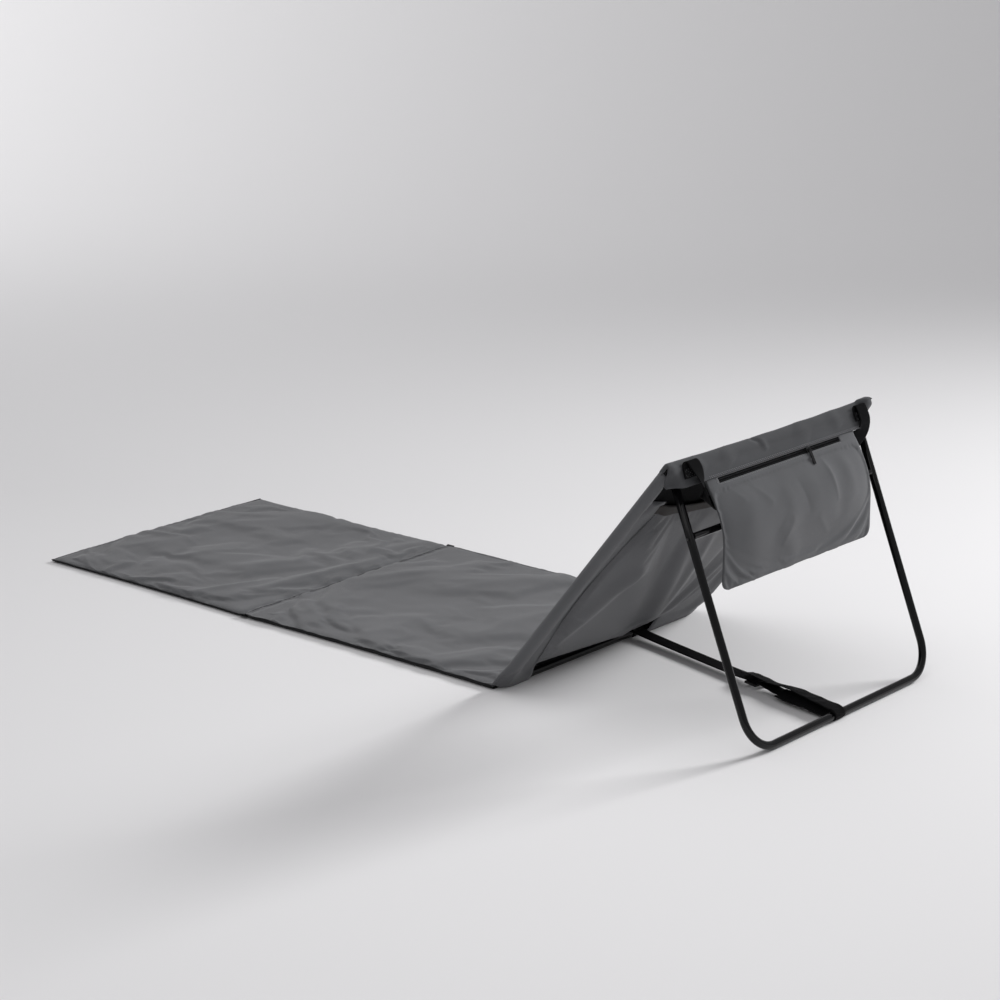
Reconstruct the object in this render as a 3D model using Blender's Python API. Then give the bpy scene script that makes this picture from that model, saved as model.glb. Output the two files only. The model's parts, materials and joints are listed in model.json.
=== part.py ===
"""Folding beach lounger: a padded two-panel mat, a sleeved backrest and a hinged leg frame.

X runs across the mat, +Y from the foot end to the legs, +Z up, in metres. The origin lies on
the floor under the middle of the whole lounger.
"""
from math import atan2, cos, hypot, pi, radians, sin, sqrt

import bmesh
import bpy
from mathutils import Matrix, Vector

# Mat
WIDTH = 0.500
FOOT_LENGTH = 0.466
SEAT_LENGTH = 0.525
PAD_EDGE = 0.0075
PAD_CROWN = 0.0030
PAD_SHOULDER = 0.012
SEAM_DIP = 0.0022
SEAM_REACH = 0.030
DRAW_IN = 0.003
FOAM_INSET = 0.004
FOAM_EDGE = 0.001
CLOTH = 0.0008
FIT = 0.0003

# Steel tube, as used for both frames
TUBE_RADIUS = 0.006
TUBE_WALL = 0.001
TUBE_SIDES = 12
SMOOTH_ANGLE = radians(40.0)
BEND_RADIUS = 0.050
BEND_STEPS = 7

# Backrest
BACK_ANGLE = radians(51.5)
BACK_LENGTH = 0.482
BACK_TUBE_OVERHANG = 0.0125
FRAME_SETBACK = 0.009
FRONT_SAG = 0.004
FOAM_THICK = 0.005
FOAM_CLEAR = 0.0164
STITCH_INSET = 0.042
CREASE_LIFT = 0.0015
SLEEVE_FOOT = 0.058
SLEEVE_TOP_CLEAR = 0.016
SLEEVE_STEPS = 12
SLEEVE_WRAP = radians(270.0)
SLEEVE_PINCH = 0.75

# Leg frame and its pivot
LEG_LEAN = radians(21.7)
LEG_TUBE_OVERHANG = 0.0035
WASHER_THICK = 0.0009
WASHER_RADIUS = 0.0052
RIVET_RADIUS = 0.0018
RIVET_HEAD_RADIUS = 0.0040
RIVET_HEAD_THICK = 0.0010
HEAD_CROWN = 0.65
PLUG_DOME = 0.0018
BACK_PLUG_STEM = 0.006
LEG_PLUG_STEM = 0.0012
CROSSBAR_DROP = 0.094
CROSSBAR_RADIUS = 0.005
SCREW_RADIUS = 0.0015
SCREW_HEAD_RADIUS = 0.0030
SCREW_HEAD_THICK = 0.0011
SCREW_GRIP = 0.012

# Back cloth and its binding
HEM_BOTTOM = 0.014
HEM_TOP = 0.376
BINDING_TALL = 0.013
STITCH_RISE = 0.014
CLOTH_BULGE = 0.013
CLOTH_FOLD = 0.0045
RIDGE_WAVES = 1.05
RIDGE_SLANT = 0.75
RIDGE_START = 0.6
PLEAT_WAVES = 1.7
PLEAT_SLANT = -0.35
PLEAT_SHARE = 0.6
BELLY_LOW = 0.25

# Top flap, pocket and zip
FLAP_DEPTH = 0.0225
FLAP_HANG = radians(63.0)
FLAP_SAG = 0.005
FLAP_ROUND = 0.005
FLAP_SHOULDER = 0.0042
FLAP_SET = 0.002
FLAP_ROWS = 4
POCKET_MARGIN = 0.130
POCKET_SHIFT = -0.008
POCKET_UPPER = 0.075
POCKET_LOWER = 0.088
POCKET_SPLAY = radians(6.3)
POCKET_DEPTH = 0.011
POCKET_FACING = 0.0025
POCKET_KNEE = 0.030
POCKET_ROWS = 16
ZIP_ROWS = 2
KNEE_EASE = 0.0036
ZIP_MARGIN = 0.068
ZIP_DROP = 0.0095
ZIP_TAPE_WIDE = 0.0045
ZIP_TAPE_THICK = 0.0006
COIL_WIDE = 0.0040
COIL_THICK = 0.0014
SLIDER_PLACE = 0.275
SLIDER_LONG = 0.010
SLIDER_WIDE = 0.0085
SLIDER_THICK = 0.0022
PULL_LONG = 0.024
PULL_WIDE = 0.0056
PULL_THICK = 0.0012
PULL_PIN = 0.0005
EAR_WIDE = 0.0016
EAR_TALL = 0.0026
EAR_LONG = 0.0032

# Webbing
WEB_THICK = 0.0010
WEB_WIDE = 0.025
STRAP_FRONT_X = -0.088
STRAP_LEG_X = 0.022
BUCKLE_REACH = 0.292
BUCKLE_WIDE = 0.033
BUCKLE_LONG = 0.024
BUCKLE_THICK = 0.0040
BUCKLE_BAR = 0.0034
TAIL_LONG = 0.070
TAIL_HUMP = 0.0075
TAIL_BEND = 0.020
TAIL_TOP = 0.35
TAIL_LANDS = 0.75
CARRY_INSET_LEFT = 0.047
CARRY_INSET_RIGHT = 0.029
CARRY_DROP = 0.032
CARRY_TUCK = 0.012
PATCH_LONG = 0.016
PATCH_HEM = 0.003

# Places worked out from the sizes above
PAD_TOP = PAD_EDGE + PAD_CROWN
TUBE_BORE = TUBE_RADIUS - TUBE_WALL
BAR_LIFT = WEB_THICK + FIT
BAR_Z = TUBE_RADIUS + BAR_LIFT
BACK_TUBE_X = WIDTH / 2 - TUBE_RADIUS - FIT - RIVET_HEAD_THICK - FIT
LEG_TUBE_X = BACK_TUBE_X - 2 * TUBE_RADIUS - WASHER_THICK - 2 * FIT
CREASE_Z = PAD_TOP + CREASE_LIFT
COS_BACK = cos(BACK_ANGLE)
SIN_BACK = sin(BACK_ANGLE)
BAR_S = (BAR_Z - CREASE_Z + FRAME_SETBACK * COS_BACK) / SIN_BACK
PIVOT_S = BAR_S + BACK_LENGTH
PIVOT_RISE = CREASE_Z + PIVOT_S * SIN_BACK - FRAME_SETBACK * COS_BACK
PIVOT_REACH = PIVOT_S * COS_BACK + FRAME_SETBACK * SIN_BACK
LEG_LENGTH = (PIVOT_RISE - BAR_Z) / cos(LEG_LEAN)
LEG_BAR_REACH = PIVOT_REACH + LEG_LENGTH * sin(LEG_LEAN)
BACK_BAR_REACH = BAR_S * COS_BACK + FRAME_SETBACK * SIN_BACK
REACH_BACK = LEG_BAR_REACH + TUBE_RADIUS + FIT + WEB_THICK
REACH_FOOT = SEAT_LENGTH + FOOT_LENGTH
CREASE_Y = (REACH_FOOT - REACH_BACK) / 2
FOOT_FOLD_Y = CREASE_Y - SEAT_LENGTH
FOOT_FOLD_Z = PAD_TOP + FIT
STITCH_X = BACK_TUBE_X + TUBE_RADIUS - STITCH_INSET
FOAM_HALF_WIDTH = STITCH_X - FOAM_CLEAR
FRONT_GAP = FRAME_SETBACK - FIT - CLOTH
POCKET_LEAN = LEG_LEAN + POCKET_SPLAY
POCKET_WIDTH = WIDTH - POCKET_MARGIN
ZIP_LENGTH = POCKET_WIDTH - ZIP_MARGIN
SLIDER_X = (SLIDER_PLACE - 0.5) * ZIP_LENGTH
CARRY_LEFT_X = WIDTH / 2 - CARRY_INSET_LEFT
CARRY_RIGHT_X = CARRY_INSET_RIGHT - WIDTH / 2

for leftover in list(bpy.data.objects):
    bpy.data.objects.remove(leftover, do_unlink=True)


# Materials

def finish(name, colour, roughness, metallic=0.0):
    """A plain Principled material with the piece's colour."""
    material = bpy.data.materials.new(name)
    material.use_nodes = True
    shader = material.node_tree.nodes["Principled BSDF"]
    shader.inputs["Base Color"].default_value = (*colour, 1.0)
    shader.inputs["Roughness"].default_value = roughness
    shader.inputs["Metallic"].default_value = metallic
    return material


GREY_CLOTH = finish("grey_polyester", (0.115, 0.120, 0.125), 0.75)
BLACK_CLOTH = finish("black_base_cloth", (0.012, 0.012, 0.013), 0.85)
BINDING = finish("brown_grey_binding", (0.040, 0.036, 0.034), 0.80)
FOAM = finish("white_foam", (0.75, 0.74, 0.70), 0.95)
BLACK_TUBE = finish("black_powder_coat", (0.010, 0.010, 0.011), 0.30, 0.2)
STEEL = finish("zinc_steel", (0.55, 0.55, 0.56), 0.30, 1.0)
BLACK_PLASTIC = finish("black_plastic", (0.013, 0.013, 0.014), 0.45)
WEBBING = finish("black_webbing", (0.011, 0.011, 0.012), 0.80)
GUNMETAL = finish("dark_zip_metal", (0.09, 0.09, 0.09), 0.35, 0.9)


# Empties on the joint axes

def axis_empty(name, place, turn=0.0, parent=None):
    """An empty on a joint's axis, turned about X."""
    empty = bpy.data.objects.new(name, None)
    bpy.context.scene.collection.objects.link(empty)
    empty.location = place
    empty.rotation_euler = (turn, 0.0, 0.0)
    empty.parent = parent
    return empty


CREASE_AXIS = axis_empty("crease_axis", (0, CREASE_Y, CREASE_Z), BACK_ANGLE)
FOOT_AXIS = axis_empty("foot_axis", (0, FOOT_FOLD_Y, FOOT_FOLD_Z))
LEG_AXIS = axis_empty("leg_axis", (0, PIVOT_S, -FRAME_SETBACK), LEG_LEAN - BACK_ANGLE, CREASE_AXIS)


# Shared modelling steps

def place_mesh(name, bm, material, parent=None, closed=True):
    """Turn a bmesh into a named object under its joint's empty."""
    bmesh.ops.remove_doubles(bm, verts=bm.verts[:], dist=1e-6)
    if closed:
        bmesh.ops.recalc_face_normals(bm, faces=bm.faces[:])
    mesh = bpy.data.meshes.new(name)
    bm.to_mesh(mesh)
    bm.free()
    mesh.materials.append(material)
    mesh.shade_smooth()
    mesh.set_sharp_from_angle(angle=SMOOTH_ANGLE)
    piece = bpy.data.objects.new(name, mesh)
    bpy.context.scene.collection.objects.link(piece)
    piece.parent = parent
    return piece


def rounded_path(points, radius, steps):
    """The polyline through the points with each inner corner turned into an arc."""
    path = [Vector(points[0])]
    for before, corner, after in zip(points, points[1:], points[2:]):
        corner = Vector(corner)
        back = (Vector(before) - corner).normalized()
        ahead = (Vector(after) - corner).normalized()
        half = back.angle(ahead) / 2
        middle = corner + (back + ahead).normalized() * radius / sin(half)
        reach = radius * cos(half) / sin(half)
        first = corner + back * reach - middle
        last = corner + ahead * reach - middle
        sweep = first.angle(last)
        for step in range(steps + 1):
            part = step / steps
            arm = first * sin((1 - part) * sweep) + last * sin(part * sweep)
            path.append(middle + arm / sin(sweep))
    path.append(Vector(points[-1]))
    return path


def circle(radius, sides):
    """A round section, turned so that flat sides face along its axes."""
    turns = [2 * pi * (side + 0.5) / sides for side in range(sides)]
    return [(radius * cos(turn), radius * sin(turn)) for turn in turns]


def oblong(thick, wide):
    """A flat section for webbing and tape."""
    return [(-thick / 2, -wide / 2), (thick / 2, -wide / 2), (thick / 2, wide / 2), (-thick / 2, wide / 2)]


def rings_along(bm, path, section, binormal):
    """The section repeated along a flat path, mitred at each point."""
    rings = []
    binormal = Vector(binormal)
    for index, point in enumerate(path):
        behind = (point - path[max(index - 1, 0)]).normalized()
        ahead = (path[min(index + 1, len(path) - 1)] - point).normalized()
        tangent = (behind + ahead).normalized()
        mitre = 1 / max(tangent.dot(ahead), tangent.dot(behind), 0.5)
        side = binormal.cross(tangent).normalized() * mitre
        rings.append([bm.verts.new(point + side * a + binormal * b) for a, b in section])
    return rings


def skin(bm, rings):
    """Quads between each ring and the next."""
    for low, high in zip(rings, rings[1:]):
        count = len(low)
        for i in range(count):
            j = (i + 1) % count
            bm.faces.new((low[i], low[j], high[j], high[i]))


def strip(bm, path, section, binormal):
    """A closed solid of the section swept along the path."""
    rings = rings_along(bm, path, section, binormal)
    skin(bm, rings)
    bm.faces.new(rings[0])
    bm.faces.new(rings[-1])


def pipe(bm, path, binormal, outer, bore):
    """A hollow tube along the path, open at both ends."""
    walls = [rings_along(bm, path, circle(radius, TUBE_SIDES), binormal) for radius in (outer, bore)]
    skin(bm, walls[0])
    skin(bm, walls[1])
    for end in (0, -1):
        skin(bm, [walls[0][end], walls[1][end]])


def turned(profile, place, sides=16):
    """A solid of revolution about a line along X through the place: (x, radius) pairs."""
    bm = bmesh.new()
    corners = [bm.verts.new((x, radius, 0.0)) for x, radius in profile]
    edges = [bm.edges.new(pair) for pair in zip(corners, corners[1:])]
    bmesh.ops.spin(
        bm, geom=corners + edges, cent=(0, 0, 0), axis=(1, 0, 0), dvec=(0, 0, 0),
        angle=2 * pi, steps=sides, use_merge=True)
    bmesh.ops.translate(bm, verts=bm.verts[:], vec=place)
    return bm


def block(bm, size, place):
    """A box of the size, centred on the place."""
    matrix = Matrix.Translation(place) @ Matrix.Diagonal((*size, 1.0))
    return bmesh.ops.create_cube(bm, size=1.0, matrix=matrix)["verts"]


def grid(bm, across, along, surface):
    """A sheet of quads: the surface gives a point for u and v, each from -1 to 1."""
    verts = bmesh.ops.create_grid(bm, x_segments=across, y_segments=along, size=1.0)["verts"]
    for vert in verts:
        vert.co = surface(vert.co.x, vert.co.y)


def cloth(name, across, along, surface, material, parent, thicken=-1.0):
    """A sheet of cloth: a grid, thickened along its faces' normals or, with -1, against them."""
    bm = bmesh.new()
    grid(bm, across, along, surface)
    piece = place_mesh(name, bm, material, parent, closed=False)
    wall = piece.modifiers.new("cloth thickness", "SOLIDIFY")
    wall.thickness = CLOTH
    wall.offset = thicken
    return piece


def filled(name, across, along, upper, lower, material, parent=None):
    """A closed solid between two surfaces over the same u and v."""
    bm = bmesh.new()
    bmesh.ops.create_grid(bm, x_segments=across, y_segments=along, size=1.0)
    lifted = bmesh.ops.extrude_face_region(bm, geom=bm.faces[:])["geom"]
    top = {item for item in lifted if isinstance(item, bmesh.types.BMVert)}
    for vert in bm.verts:
        surface = upper if vert in top else lower
        vert.co = surface(vert.co.x, vert.co.y)
    return place_mesh(name, bm, material, parent)


def drill(piece, radius, length, place, name):
    """Cut a round hole along X through a piece, in the piece's own frame."""
    half = length / 2
    bm = turned([(-half, 0), (-half, radius), (half, radius), (half, 0)], place, 12)
    cutter = place_mesh(name, bm, STEEL, piece.parent)
    cutter.hide_render = True
    cutter.display_type = "WIRE"
    hole = piece.modifiers.new(name, "BOOLEAN")
    hole.operation = "DIFFERENCE"
    hole.object = cutter


# Mat panels: a top cloth over foam on a flat base cloth

def shoulder(distance, reach):
    """How far the rounded edge has risen, from 0 at the edge to 1."""
    part = min(max(distance / reach, 0.0), 1.0)
    return sqrt(1 - (1 - part) ** 2)


def spread(value):
    """Moves grid lines towards the edges, where the pad curves most."""
    return sin(value * pi / 2)


def panel_point(u, v, front_y, rear_y, inset, drop, foot_end):
    """A point on the top of a panel that lies between two Y values."""
    across = spread(u)
    along = spread(v)
    half = WIDTH / 2 - inset - DRAW_IN * (1 - along * along)
    pulled = DRAW_IN * (1 - across * across) if foot_end else 0.0
    front = front_y + inset + pulled
    rear = rear_y - inset
    x = across * half
    y = front + (rear - front) * (along + 1) / 2
    height = PAD_EDGE + PAD_CROWN * (1 - across ** 4) * (1 - along ** 4)
    floor = 2 * CLOTH + FIT
    rise = shoulder(half - abs(x), PAD_SHOULDER)
    if foot_end:
        rise *= shoulder(y - front, PAD_SHOULDER)
        seam = rear - y
    else:
        seam = y - front
    dip = SEAM_DIP * (1 - shoulder(seam, SEAM_REACH))
    lip = 0.0
    if not foot_end and not inset:
        lip = (CREASE_Z - FIT - height) * max(1 - (rear - y) / PAD_SHOULDER, 0.0)
    return Vector((x, y, floor + (height + lip - floor - dip) * rise - drop))


def panel(label, front_y, rear_y, origin, foot_end, parent):
    """One panel of the mat: base cloth, foam and top cloth."""
    origin = Vector(origin)
    wall = CLOTH + 3 * FIT
    foam_rest = CLOTH + FIT

    def top(u, v):
        return panel_point(u, v, front_y, rear_y, 0.0, 0.0, foot_end) - origin

    def foam_top(u, v):
        point = panel_point(u, v, front_y, rear_y, FOAM_INSET, wall, foot_end)
        point.z = max(point.z, foam_rest + FOAM_EDGE)
        return point - origin

    def foam_floor(u, v):
        point = foam_top(u, v)
        point.z = foam_rest - origin.z
        return point

    cloth(label + "_top_cloth", 14, 14, top, GREY_CLOTH, parent)
    filled(label + "_foam", 14, 14, foam_top, foam_floor, FOAM, parent)
    bm = bmesh.new()
    base_size = (WIDTH - 2 * DRAW_IN, rear_y - front_y - 2 * DRAW_IN * foot_end, CLOTH)
    base_middle = Vector((0, (front_y + rear_y) / 2 + DRAW_IN * foot_end, CLOTH / 2)) - origin
    block(bm, base_size, base_middle)
    place_mesh(label + "_base_cloth", bm, BLACK_CLOTH, parent)


panel("seat", FOOT_FOLD_Y + FIT, CREASE_Y, (0, 0, 0), False, None)
panel("foot", FOOT_FOLD_Y - FOOT_LENGTH, FOOT_FOLD_Y - FIT, (0, FOOT_FOLD_Y, FOOT_FOLD_Z), True, FOOT_AXIS)


# Backrest frame: a U of tube whose bar lies by the crease

def back_place(x, s, behind):
    """A point on the backrest: s up from the crease axis, behind from the frame's plane."""
    return Vector((x, s, -FRAME_SETBACK - behind))


frame_top = PIVOT_S + BACK_TUBE_OVERHANG
frame_ends = [
    back_place(side * BACK_TUBE_X, s, 0.0)
    for side, s in ((1, frame_top), (1, BAR_S), (-1, BAR_S), (-1, frame_top))]
bm = bmesh.new()
pipe(bm, rounded_path(frame_ends, BEND_RADIUS, BEND_STEPS), (0, 0, 1), TUBE_RADIUS, TUBE_BORE)
backrest_tube = place_mesh("backrest_frame_tube", bm, BLACK_TUBE, CREASE_AXIS)
for side in (1, -1):
    pivot = back_place(side * BACK_TUBE_X, PIVOT_S, 0.0)
    drill(backrest_tube, RIVET_RADIUS + FIT, 3 * TUBE_RADIUS, pivot, "pivot hole")


# Leg frame: a second U inside the first, hinged near the tops of the tubes

leg_ends = [
    Vector((side * LEG_TUBE_X, 0, z))
    for side, z in ((1, LEG_TUBE_OVERHANG), (1, -LEG_LENGTH), (-1, -LEG_LENGTH), (-1, LEG_TUBE_OVERHANG))]
bm = bmesh.new()
pipe(bm, rounded_path(leg_ends, BEND_RADIUS, BEND_STEPS), (0, 1, 0), TUBE_RADIUS, TUBE_BORE)
leg_tube = place_mesh("leg_frame_tube", bm, BLACK_TUBE, LEG_AXIS)
for side in (1, -1):
    drill(leg_tube, RIVET_RADIUS + FIT, 3 * TUBE_RADIUS, (side * LEG_TUBE_X, 0, 0), "pivot hole")
    drill(leg_tube, SCREW_RADIUS + FIT, 3 * TUBE_RADIUS, (side * LEG_TUBE_X, 0, -CROSSBAR_DROP), "screw hole")

crossbar_half = LEG_TUBE_X - TUBE_RADIUS - FIT
crossbar_profile = [
    (-crossbar_half, 0), (-crossbar_half, CROSSBAR_RADIUS),
    (crossbar_half, CROSSBAR_RADIUS), (crossbar_half, 0)]
crossbar_solid = turned(crossbar_profile, (0, 0, -CROSSBAR_DROP))
crossbar = place_mesh("leg_crossbar", crossbar_solid, BLACK_TUBE, LEG_AXIS)
for side in (1, -1):
    bar_end = (side * crossbar_half, 0, -CROSSBAR_DROP)
    drill(crossbar, SCREW_RADIUS + FIT, 2 * SCREW_GRIP, bar_end, "thread hole")

SIDES = (("left", 1), ("right", -1))
for label, side in SIDES:
    seat_x = side * (LEG_TUBE_X + TUBE_RADIUS + FIT)
    tip_x = side * (crossbar_half - SCREW_GRIP + FIT)
    crown_x = seat_x + side * SCREW_HEAD_THICK
    screw_profile = [
        (tip_x, 0), (tip_x, SCREW_RADIUS), (seat_x, SCREW_RADIUS), (seat_x, SCREW_HEAD_RADIUS),
        (crown_x, SCREW_HEAD_RADIUS * HEAD_CROWN), (crown_x, 0)]
    screw = turned(screw_profile, (0, 0, -CROSSBAR_DROP), 12)
    place_mesh("crossbar_screw_" + label, screw, STEEL, LEG_AXIS)


# Pivot rivets, their spacer washers and the plugs in the tube ends

for label, side in SIDES:
    outer_x = side * (BACK_TUBE_X + TUBE_RADIUS + FIT)
    inner_x = side * (LEG_TUBE_X - TUBE_RADIUS - FIT)
    rim = side * RIVET_HEAD_THICK
    rivet_profile = [
        (inner_x - rim, 0), (inner_x - rim, RIVET_HEAD_RADIUS * HEAD_CROWN), (inner_x, RIVET_HEAD_RADIUS),
        (inner_x, RIVET_RADIUS), (outer_x, RIVET_RADIUS), (outer_x, RIVET_HEAD_RADIUS),
        (outer_x + rim, RIVET_HEAD_RADIUS * HEAD_CROWN), (outer_x + rim, 0)]
    rivet = turned(rivet_profile, back_place(0, PIVOT_S, 0.0), 12)
    place_mesh("pivot_rivet_" + label, rivet, STEEL, CREASE_AXIS)

    near_x = side * (LEG_TUBE_X + TUBE_RADIUS + FIT)
    far_x = near_x + side * WASHER_THICK
    hole = RIVET_RADIUS + FIT
    washer_profile = [
        (near_x, hole), (near_x, WASHER_RADIUS), (far_x, WASHER_RADIUS), (far_x, hole), (near_x, hole)]
    washer = turned(washer_profile, back_place(0, PIVOT_S, 0.0))
    place_mesh("pivot_washer_" + label, washer, BLACK_PLASTIC, CREASE_AXIS)


def end_plug(name, centre, up, stem, parent):
    """A domed plug on a tube end: a stem in the bore under a low dome."""
    profile = [(-stem, 0), (-stem, TUBE_BORE - FIT), (FIT, TUBE_BORE - FIT), (FIT, TUBE_RADIUS)]
    for turn in (pi / 6, pi / 3):
        profile.append((FIT + PLUG_DOME * sin(turn), TUBE_RADIUS * cos(turn)))
    profile.append((FIT + PLUG_DOME, 0))
    bm = turned(profile, (0, 0, 0))
    turn = Vector((1, 0, 0)).rotation_difference(Vector(up)).to_matrix().to_4x4()
    bm.transform(Matrix.Translation(centre) @ turn)
    place_mesh(name, bm, BLACK_PLASTIC, parent)


for label, side in SIDES:
    back_end = back_place(side * BACK_TUBE_X, frame_top, 0.0)
    end_plug("backrest_end_plug_" + label, back_end, (0, 1, 0), BACK_PLUG_STEM, CREASE_AXIS)
    leg_end = (side * LEG_TUBE_X, 0, LEG_TUBE_OVERHANG)
    end_plug("leg_end_plug_" + label, leg_end, (0, 0, 1), LEG_PLUG_STEM, LEG_AXIS)


# Side sleeves: cloth round each side tube, sewn back to the front cloth

sleeve_radius = TUBE_RADIUS + FIT + CLOTH / 2
return_depth = FRONT_GAP - FIT - CLOTH
sleeve_low = BAR_S + SLEEVE_FOOT
sleeve_high = PIVOT_S - SLEEVE_TOP_CLEAR


def sleeve(name, side):
    """A sleeve as one strip of cloth, bent round the tube and back to the stitch line."""
    path = []
    for step in range(SLEEVE_STEPS):
        turn = -pi / 2 + step * SLEEVE_WRAP / SLEEVE_STEPS
        round_x = BACK_TUBE_X + sleeve_radius * cos(turn)
        path.append(back_place(side * round_x, 0, sleeve_radius * sin(turn)))
    path.append(back_place(side * (BACK_TUBE_X - sleeve_radius - FIT), 0, -return_depth * SLEEVE_PINCH))
    path.append(back_place(side * (BACK_TUBE_X - sleeve_radius - 3 * CLOTH), 0, -return_depth))
    path.append(back_place(side * STITCH_X, 0, -return_depth))
    bm = bmesh.new()
    strip(bm, path, oblong(CLOTH, sleeve_high - sleeve_low), (0, 1, 0))
    bmesh.ops.translate(bm, verts=bm.verts[:], vec=(0, (sleeve_low + sleeve_high) / 2, 0))
    place_mesh(name, bm, GREY_CLOTH, CREASE_AXIS)


for label, side in SIDES:
    sleeve("side_sleeve_" + label, side)


# Backrest cloth: front sheet, thin foam behind it and a loose back sheet with soft folds

front_half = BACK_TUBE_X + TUBE_RADIUS
front_top = PIVOT_S + LEG_TUBE_OVERHANG


def top_sag(x):
    """How far the cloth's top edge hangs between the tube ends."""
    return FLAP_SAG * (1 - (x / front_half) ** 2)


def front_sag(x, s):
    """How far the front cloth dishes back between the tubes."""
    rise = min(max((s - BAR_S) / BACK_LENGTH, 0.0), 1.0)
    return FRONT_SAG * (1 - (x / front_half) ** 2) ** 2 * 4 * rise * (1 - rise)


def front_surface(u, v):
    x = u * front_half
    s = (front_top - top_sag(x)) * (v + 1) / 2
    return back_place(x, s, -FRONT_GAP + front_sag(x, s))


def foam_surface(u, v, behind):
    x = u * FOAM_HALF_WIDTH
    low = BAR_S + SLEEVE_FOOT
    high = front_top - FLAP_SAG - SLEEVE_TOP_CLEAR
    s = low + (high - low) * (v + 1) / 2
    return back_place(x, s, -FRONT_GAP + FIT + front_sag(x, s) + behind)


def hang(u, v):
    """How far the loose back cloth stands off its sewn edges."""
    held = (1 - u * u) * (1 - v * v)
    belly = CLOTH_BULGE * held * (1 - BELLY_LOW * (1 + v))
    ridge = (1 + sin(2 * pi * RIDGE_WAVES * (v + RIDGE_SLANT * u) + RIDGE_START)) / 2
    pleat = (1 + sin(2 * pi * PLEAT_WAVES * (u + PLEAT_SLANT * v))) / 2
    return belly + CLOTH_FOLD * held * (ridge + PLEAT_SHARE * pleat)


back_rest = -FRONT_GAP + FOAM_THICK + 2 * FIT + FRONT_SAG + CLOTH
back_half = STITCH_X - FIT - CLOTH


def back_stand(x):
    """The back cloth's depth: it rises from the sleeves' stitch lines to clear the foam."""
    rise = shoulder(back_half - abs(x), STITCH_RISE)
    return -return_depth + (back_rest + return_depth) * rise


def back_surface(u, v):
    x = spread(u) * back_half
    s = BAR_S + HEM_BOTTOM + (HEM_TOP - BINDING_TALL - FIT - HEM_BOTTOM) * (v + 1) / 2
    return back_place(x, s, back_stand(x) + hang(spread(u), v))


def binding_surface(u, v):
    x = spread(u) * back_half
    s = BAR_S + HEM_TOP - BINDING_TALL * (1 - v) / 2
    return back_place(x, s, back_stand(x))


cloth("backrest_front_cloth", 12, 10, front_surface, GREY_CLOTH, CREASE_AXIS, 1.0)
filled("backrest_foam", 8, 8, lambda u, v: foam_surface(u, v, 0.0),
       lambda u, v: foam_surface(u, v, FOAM_THICK), FOAM, CREASE_AXIS)
cloth("back_cloth", 20, 20, back_surface, GREY_CLOTH, CREASE_AXIS)
cloth("back_cloth_binding", 20, 1, binding_surface, BINDING, CREASE_AXIS)


# Top flap: the hem that turns over the top edge and hangs behind the leg tops

flap_start = front_top + FIT
flap_crest = frame_top + PLUG_DOME + 2 * FIT + CLOTH
flap_hem = (flap_crest - FLAP_SET - FLAP_DEPTH * cos(FLAP_HANG), FLAP_SHOULDER + FLAP_DEPTH * sin(FLAP_HANG))
flap_profile = rounded_path(
    [back_place(0, flap_start, -FRONT_GAP), back_place(0, flap_crest, -FRONT_GAP),
     back_place(0, flap_crest, FLAP_SHOULDER), back_place(0, *flap_hem)], FLAP_ROUND, 3)
flap_bend, flap_edge = flap_profile[-2:]
flap_profile[-1:] = [flap_bend.lerp(flap_edge, row / FLAP_ROWS) for row in range(1, FLAP_ROWS + 1)]
flap_steps = len(flap_profile) - 1


def flap_surface(u, v):
    x = u * front_half
    row = round((v + 1) / 2 * flap_steps)
    point = flap_profile[row]
    hung = max(1 - (flap_steps - row) / FLAP_ROWS, 0.0)
    return Vector((x, point.y - top_sag(x) * (1 - hung) - FLAP_SAG * hung, point.z))


cloth("top_flap", 12, flap_steps, flap_surface, GREY_CLOTH, CREASE_AXIS, 1.0)


# Pocket: two cloth panels hung from the flap's hem, with a knee where they leave the carry strap

hem_line = back_place(0.0, flap_hem[0] - FLAP_SAG, flap_hem[1] + FIT)
HEM_AXIS = axis_empty("hem_line", hem_line, -BACK_ANGLE, CREASE_AXIS)
pocket_lip = Vector((0, CLOTH * cos(POCKET_LEAN), CLOTH * sin(POCKET_LEAN)))
POCKET_AXIS = axis_empty("pocket_axis", pocket_lip, 0.0, HEM_AXIS)
pocket_tall = POCKET_UPPER + POCKET_LOWER
zip_band = 2 * ZIP_DROP + FIT


def pocket_profile(drop):
    """The pocket's inner face as (out, down) for a length of cloth below the hem."""
    upper = min(drop, POCKET_UPPER)
    lower = max(drop - POCKET_UPPER, 0.0)
    near_knee = max(0.0, 1 - abs(drop - POCKET_UPPER) / POCKET_KNEE)
    out = upper * sin(POCKET_LEAN) - KNEE_EASE * near_knee ** 2
    return out, upper * cos(POCKET_LEAN) + lower


def pocket_surface(u, v, top_edge, depth, lift):
    row = (1 - v) / 2 * POCKET_ROWS
    below_zip = max((row - ZIP_ROWS) / (POCKET_ROWS - ZIP_ROWS), 0.0)
    drop = top_edge + (zip_band - top_edge) * min(row / ZIP_ROWS, 1.0) + (pocket_tall - zip_band) * below_zip
    out, down = pocket_profile(drop)
    belly = depth * (1 - u ** 4) * sin(pi * below_zip)
    return Vector((POCKET_SHIFT + u * POCKET_WIDTH / 2, out + belly + lift, -down)) - pocket_lip


cloth("pocket_inner_panel", 8, POCKET_ROWS,
      lambda u, v: pocket_surface(u, v, 0.0, 0.0, 0.0), GREY_CLOTH, POCKET_AXIS)
cloth("pocket_outer_panel", 12, POCKET_ROWS,
      lambda u, v: pocket_surface(u, v, POCKET_FACING, POCKET_DEPTH, CLOTH + FIT), GREY_CLOTH, POCKET_AXIS)


# Zip across the top of the pocket: a coil between two tapes, a slider and its pull

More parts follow.
